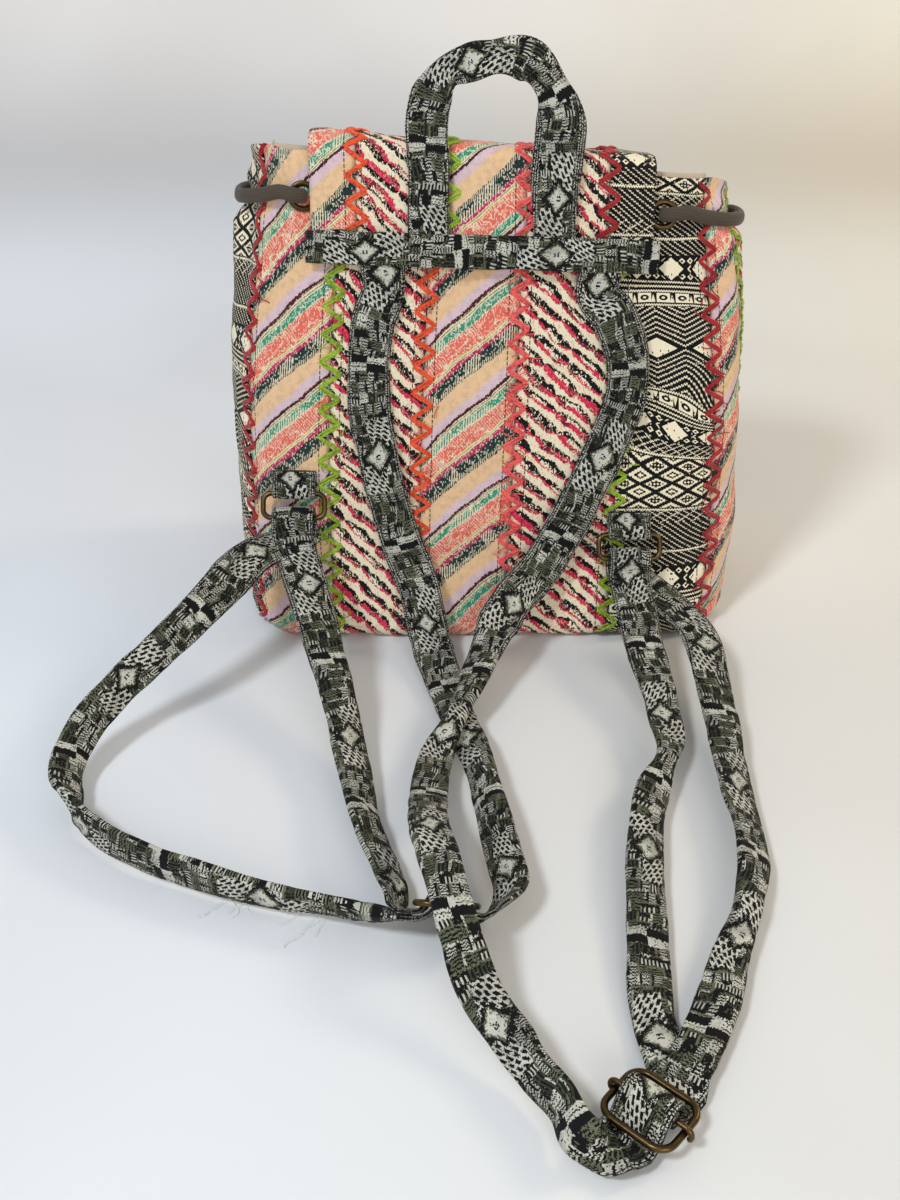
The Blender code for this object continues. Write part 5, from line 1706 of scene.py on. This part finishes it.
def make_eyelet(name, girth):
    """A domed flange with a rolled lip."""
    seat = CLOTH / 2 + GAP
    low = -(LINING_INSIDE + LINING / 2 + 2 * GAP + EYELET_WASHER)
    profile = [(EYELET_HOLE, low), (EYELET_HOLE, seat)]
    for k in range(9):
        angle = math.radians(180 - 180 * k / 8)
        middle, reach = (EYELET_HOLE + EYELET_FLANGE) / 2, (EYELET_FLANGE - EYELET_HOLE) / 2
        profile.append((middle + reach * math.cos(angle), seat + EYELET_DOME * math.sin(angle) ** 0.7))
    profile += [(EYELET_FLANGE, seat), (EYELET_HOLE + 0.0006, seat), (EYELET_HOLE + 0.0006, low)]
    steps = 40
    centre = off_wall(girth, CINCH, 0)
    normal = wall_normal(girth, CINCH)
    turn = normal.to_track_quat("Z", "X")
    rows = []
    for radius, height in profile:
        row = []
        for k in range(steps):
            angle = 2 * math.pi * k / steps
            row.append(centre + turn @ Vector((radius * math.cos(angle), radius * math.sin(angle), height)))
        rows.append(row)
    bm = bmesh.new()
    lines = [[bm.verts.new(point) for point in row] for row in rows]
    for a, b in zip(lines, lines[1:] + lines[:1]):
        for i in range(steps):
            j = (i + 1) % steps
            bm.faces.new((a[i], b[i], b[j], a[j])).smooth = True
    bmesh.ops.recalc_face_normals(bm, faces=bm.faces)
    dress(mesh_object("grommet_" + name, bm), BRASS, ["eyelet_" + name])


# Drawstring


def cord_side(side, rear, outer, inner):
    radius = CORD_DIAMETER / 2
    inside = -(LINING_INSIDE + LINING / 2 + EYELET_WASHER + 3 * GAP + radius)
    lie = CLOTH / 2 + EYELET_DOME + 3 * GAP + radius
    hump = lie + 0.0018
    route = [
        (rear - side * 0.018, inside - 0.001),
        (rear - side * 0.006, inside - 0.001),
        (rear, inside + radius),
        (rear, lie - 0.0012),
        (rear + side * 0.0045, hump),
        (rear + side * 0.012, lie + 0.001),
    ]
    steps = 9
    start, end = rear + side * 0.022, outer - side * 0.022
    for i in range(steps + 1):
        girth = start + (end - start) * i / steps
        route.append((girth, CLOTH / 2 + 4 * GAP + radius + pleats(girth, CINCH)))
    middle = (outer + inner) / 2
    route += [
        (outer - side * 0.012, lie + 0.001),
        (outer - side * 0.0045, hump),
        (outer, lie - 0.0012),
        (outer, inside + radius),
        (outer + side * 0.006, inside - 0.0015),
        (middle, inside - 0.002 - pleats(middle, CINCH)),
        (inner - side * 0.006, inside - 0.0015),
        (inner, inside + radius),
        (inner, lie - 0.0012),
        (inner + side * 0.0040, hump),
    ]
    stations = []
    for girth, out in route:
        gone = side * (girth - rear)
        lift = 0.0022 * math.exp(-(((gone - 0.013) / 0.009) ** 2))
        lift -= 0.0040 * math.exp(-(((gone - 0.050) / 0.022) ** 2))
        stations.append(off_wall(girth, CINCH + lift, out))
    return stations


def make_drawstring():
    left = cord_side(-1, EYELETS["rear_left"], EYELETS["side_left"], EYELETS["front_left"])
    right = cord_side(1, EYELETS["rear_right"], EYELETS["side_right"], EYELETS["front_right"])
    radius = CORD_DIAMETER / 2
    low = CLOTH / 2 + 4 * GAP + radius
    high = low + CORD_DIAMETER + GAP
    for route, side, level in ((left, -1, high), (right, 1, low)):
        cross = side * HALF_ROUND
        route.append(off_wall(cross - side * 0.004, CINCH - 0.003, level))
        route.append(off_wall(cross + side * 0.005, CINCH - 0.008, level))
        route.append(off_wall(cross + side * 0.009, CINCH - 0.018, low + 0.001))
        route.append(off_wall(cross + side * 0.010, CINCH - 0.010 - CORD_TAIL, low + 0.0015))
    centres = catmull(list(reversed(left)) + right, 0.0022)
    around = 20
    points, places = [], []
    length = 0.0
    for i, centre in enumerate(centres):
        if i:
            length += (centre - centres[i - 1]).length
        along = direction(centres, i)
        wide = (UP - along * UP.dot(along)).normalized()
        face = wide.cross(along)
        line, marks = [], []
        for k in range(around):
            angle = 2 * math.pi * k / around
            c, s = math.cos(angle), math.sin(angle)
            fold = 1 - 0.16 * math.exp(-((s - 0.15) / 0.16) ** 2)
            uneven = 1 + 0.05 * noise.noise(Vector((length * 90, c * 2, s * 2)))
            line.append(centre + (wide * s * 1.26 + face * c * 0.84 * fold) * radius * uneven)
            marks.append((length, radius * angle))
        points.append(line)
        places.append(marks)
    obj = grid_object("draw_cord", points, places, closed=True)
    dress(obj, CORD, ["drawstring"])


# Inside and base


# The lining's lowest row above the floor
LINING_FOOT = 0.0075


def make_lining():
    rows, columns = 70, 240
    points, places = [], []
    for r in range(rows + 1):
        height = LINING_FOOT + (PANEL_LENGTH - LINING_FOOT) * r / rows
        line, marks = [], []
        for i in range(columns):
            girth = HALF_ROUND * (2 * i / columns - 1)
            gather = pleats(wrap_girth(girth), height)
            inside = LINING_INSIDE / math.cos(PANEL_LEAN) + 1.35 * gather
            inside += 0.0012 * quiet(girth, height) + LINING_LEAN * free_mouth(girth, height)
            line.append(wall_point(girth, height, -inside, pleated=False))
            marks.append((girth, height))
        points.append(line)
        places.append(marks)
    floor_height = 0.0016 + GAP + LINING / 2
    ring_points, ring_marks = [], []
    for i in range(columns):
        girth = HALF_ROUND * (2 * i / columns - 1)
        point = wall_point(girth, 0.0012, -LINING_INSIDE - 0.003, pleated=False)
        ring_points.append(Vector((point.x, point.y, floor_height)))
        ring_marks.append((girth, 0.0))
    points.insert(0, ring_points)
    places.insert(0, ring_marks)
    obj = grid_object("inner_bag", points, places, closed=True, caps=(True, False))
    floor = obj.data.polygons[-1]
    for loop in floor.loop_indices:
        corner = obj.data.vertices[obj.data.loops[loop].vertex_index].co
        obj.data.uv_layers["UVMap"].data[loop].uv = corner.xy
    floor.use_smooth = False
    thicken(obj, LINING, 0.0)
    dress(obj, LINING_LOOK, ["lining_bag"])


def make_base():
    half_width, half_depth, corner, rear = envelope(0.0012)
    inset = CLOTH / 2 + GAP + 0.0004
    sizes = (half_width - inset, half_depth - inset, max(corner - inset, 0.003))
    length = half_girth(*sizes)
    rings, around = 12, 96
    points, places = [], []
    for r in range(rings + 1):
        share = max(0.02, r / rings)
        line, marks = [], []
        for i in range(around):
            x, y, _, _ = section(*sizes, length * (2 * i / around - 1))
            place = Vector((x * share, (y * share) + rear + half_depth, 0.0))
            place.z = max(0.0, 0.0010 * (1 - share**4) + 0.0002 * noise.noise(place * 60))
            line.append(place)
            marks.append((place.x + 0.2, place.y + 0.3))
        points.append(line)
        places.append(marks)
    obj = grid_object("base_cloth", points[::-1], places[::-1], closed=True, caps=(False, True))
    bm = bmesh.new()
    bm.from_mesh(obj.data)
    bmesh.ops.recalc_face_normals(bm, faces=bm.faces)
    bm.to_mesh(obj.data)
    bm.free()
    thicken(obj, 0.0006, 0.0)
    dress(obj, STRIPE, ["base_panel"])


# Stage, light and camera


WALL_START = 0.34
WALL_CURVE = 0.42


def make_stage():
    bm = bmesh.new()
    profile = [(-2.2, 0.0), (WALL_START, 0.0)]
    for k in range(1, 13):
        angle = math.pi / 2 * k / 12
        profile.append((WALL_START + WALL_CURVE * math.sin(angle), WALL_CURVE * (1 - math.cos(angle))))
    profile.append((WALL_START + WALL_CURVE, 3.0))
    lines = [[bm.verts.new((x, y, z)) for x in (-3.0, 3.0)] for y, z in profile]
    for a, b in zip(lines, lines[1:]):
        bm.faces.new((a[0], a[1], b[1], b[0])).smooth = True
    obj = mesh_object("sweep", bm)
    net = Net("sweep_paper", roughness=0.9)
    net.shader.inputs["Specular IOR Level"].default_value = 0.1
    split = net.add("ShaderNodeSeparateXYZ")
    net.link(net.place(), split.inputs[0])
    across = Value(net, split.outputs[0])
    height = Value(net, split.outputs[2])
    # Painted light: the floor paper is tinted cool at the left and warm at the right, like the light of the
    # two lamps.
    paper_painted_light_tint = net.mix(across.step(-0.30, 0.40), tone(230, 236, 243), tone(228, 226, 218))
    # Painted shade and light: the wall is painted darker low down, where the bag's shadow falls, warmer at
    # the right like the lamp there, and lighter higher up.
    low_wall_painted_shade = net.mix(across.step(-0.15, 0.40), tone(196, 198, 201), tone(203, 193, 173))
    high_wall_painted_light = net.mix(across.step(-0.20, 0.50), tone(238, 237, 236), tone(240, 236, 222))
    wall = net.mix(height.step(0.05, 0.21), low_wall_painted_shade, high_wall_painted_light)
    # Painted shading: soft noise blotches are painted darker over the floor and wall, standing for the
    # shading of loose folds in the paper.
    soft = net.noise(net.place(), 3.2, 2.0).step(0.35, 0.65)
    colour = net.mix(height.step(0.004, 0.10), paper_painted_light_tint, wall)
    obj.data.materials.append(net.finish(net.mix(soft * 0.22, colour, tone(204, 198, 194))))


def area_light(name, place, aim, size, power, colour):
    data = bpy.data.lights.new(name, "AREA")
    data.shape = "DISK"
    data.size = size
    data.energy = power
    data.color = colour
    obj = put(name, data)
    obj.location = place
    obj.rotation_euler = (Vector(aim) - Vector(place)).to_track_quat("-Z", "Y").to_euler()


def make_light():
    world = bpy.data.worlds.new("studio")
    bpy.context.scene.world = world
    world.use_nodes = True
    background = world.node_tree.nodes["Background"]
    background.inputs["Color"].default_value = (*tone(238, 238, 240), 1)
    background.inputs["Strength"].default_value = 0.45
    area_light("window_left", (-0.75, -1.00, 1.45), (0, -0.1, 0.05), 0.32, 15, (0.88, 0.94, 1.0))
    area_light("lamp_right", (1.05, 0.20, 0.85), (0, -0.15, 0.02), 0.35, 4.5, (1.0, 0.84, 0.62))
    area_light("room_front", (0.45, -1.75, 0.75), (0, -0.05, 0.12), 0.9, 9.5, (1.0, 0.95, 0.88))


# The camera's lens in millimetres, its place in metres and its tilt up from straight down
LENS = 40.5
EYE = (-0.0197, -0.6587, 0.3961)
EYE_TILT = math.radians(58.0)


def make_camera():
    data = bpy.data.cameras.new("photo_camera")
    data.lens = LENS
    data.sensor_width = 36
    data.clip_start = 0.01
    obj = put("photo_camera", data)
    obj.location = EYE
    obj.rotation_euler = (EYE_TILT, 0, 0)
    bpy.context.scene.camera = obj


def dress_small_solids():
    looks = {"eyelet_washer_" + name: BRASS for name in EYELETS}
    looks.update({"snap_socket": STEEL, "snap_stud": STEEL})
    for name, look in looks.items():
        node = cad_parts[name]
        node.data.materials.clear()
        node.data.materials.append(look)


make_camera()
RINGS = {"left": Ring(LEFT_TAB), "right": Ring(RIGHT_TAB)}
SLIDERS = {
    "left": Slider(LEFT_SLIDER, Vector((-1, 0.10, 0)), Vector((0, 0.70, 0.71))),
    "right": Slider(RIGHT_SLIDER, Vector((0.66, 0.75, 0)), UP),
}
make_body()
make_floss()
make_flap()
make_loose_threads()
make_straps(RINGS, SLIDERS)
make_band()
make_handle()
for side in ("left", "right"):
    make_ring(side, RINGS[side])
    make_tab(side, RINGS[side])
    make_slider(side, SLIDERS[side])
for name, girth in EYELETS.items():
    make_eyelet(name, girth)
make_drawstring()
make_lining()
make_base()
dress_small_solids()
make_stage()
make_light()
bpy.context.scene.view_settings.view_transform = "Standard"
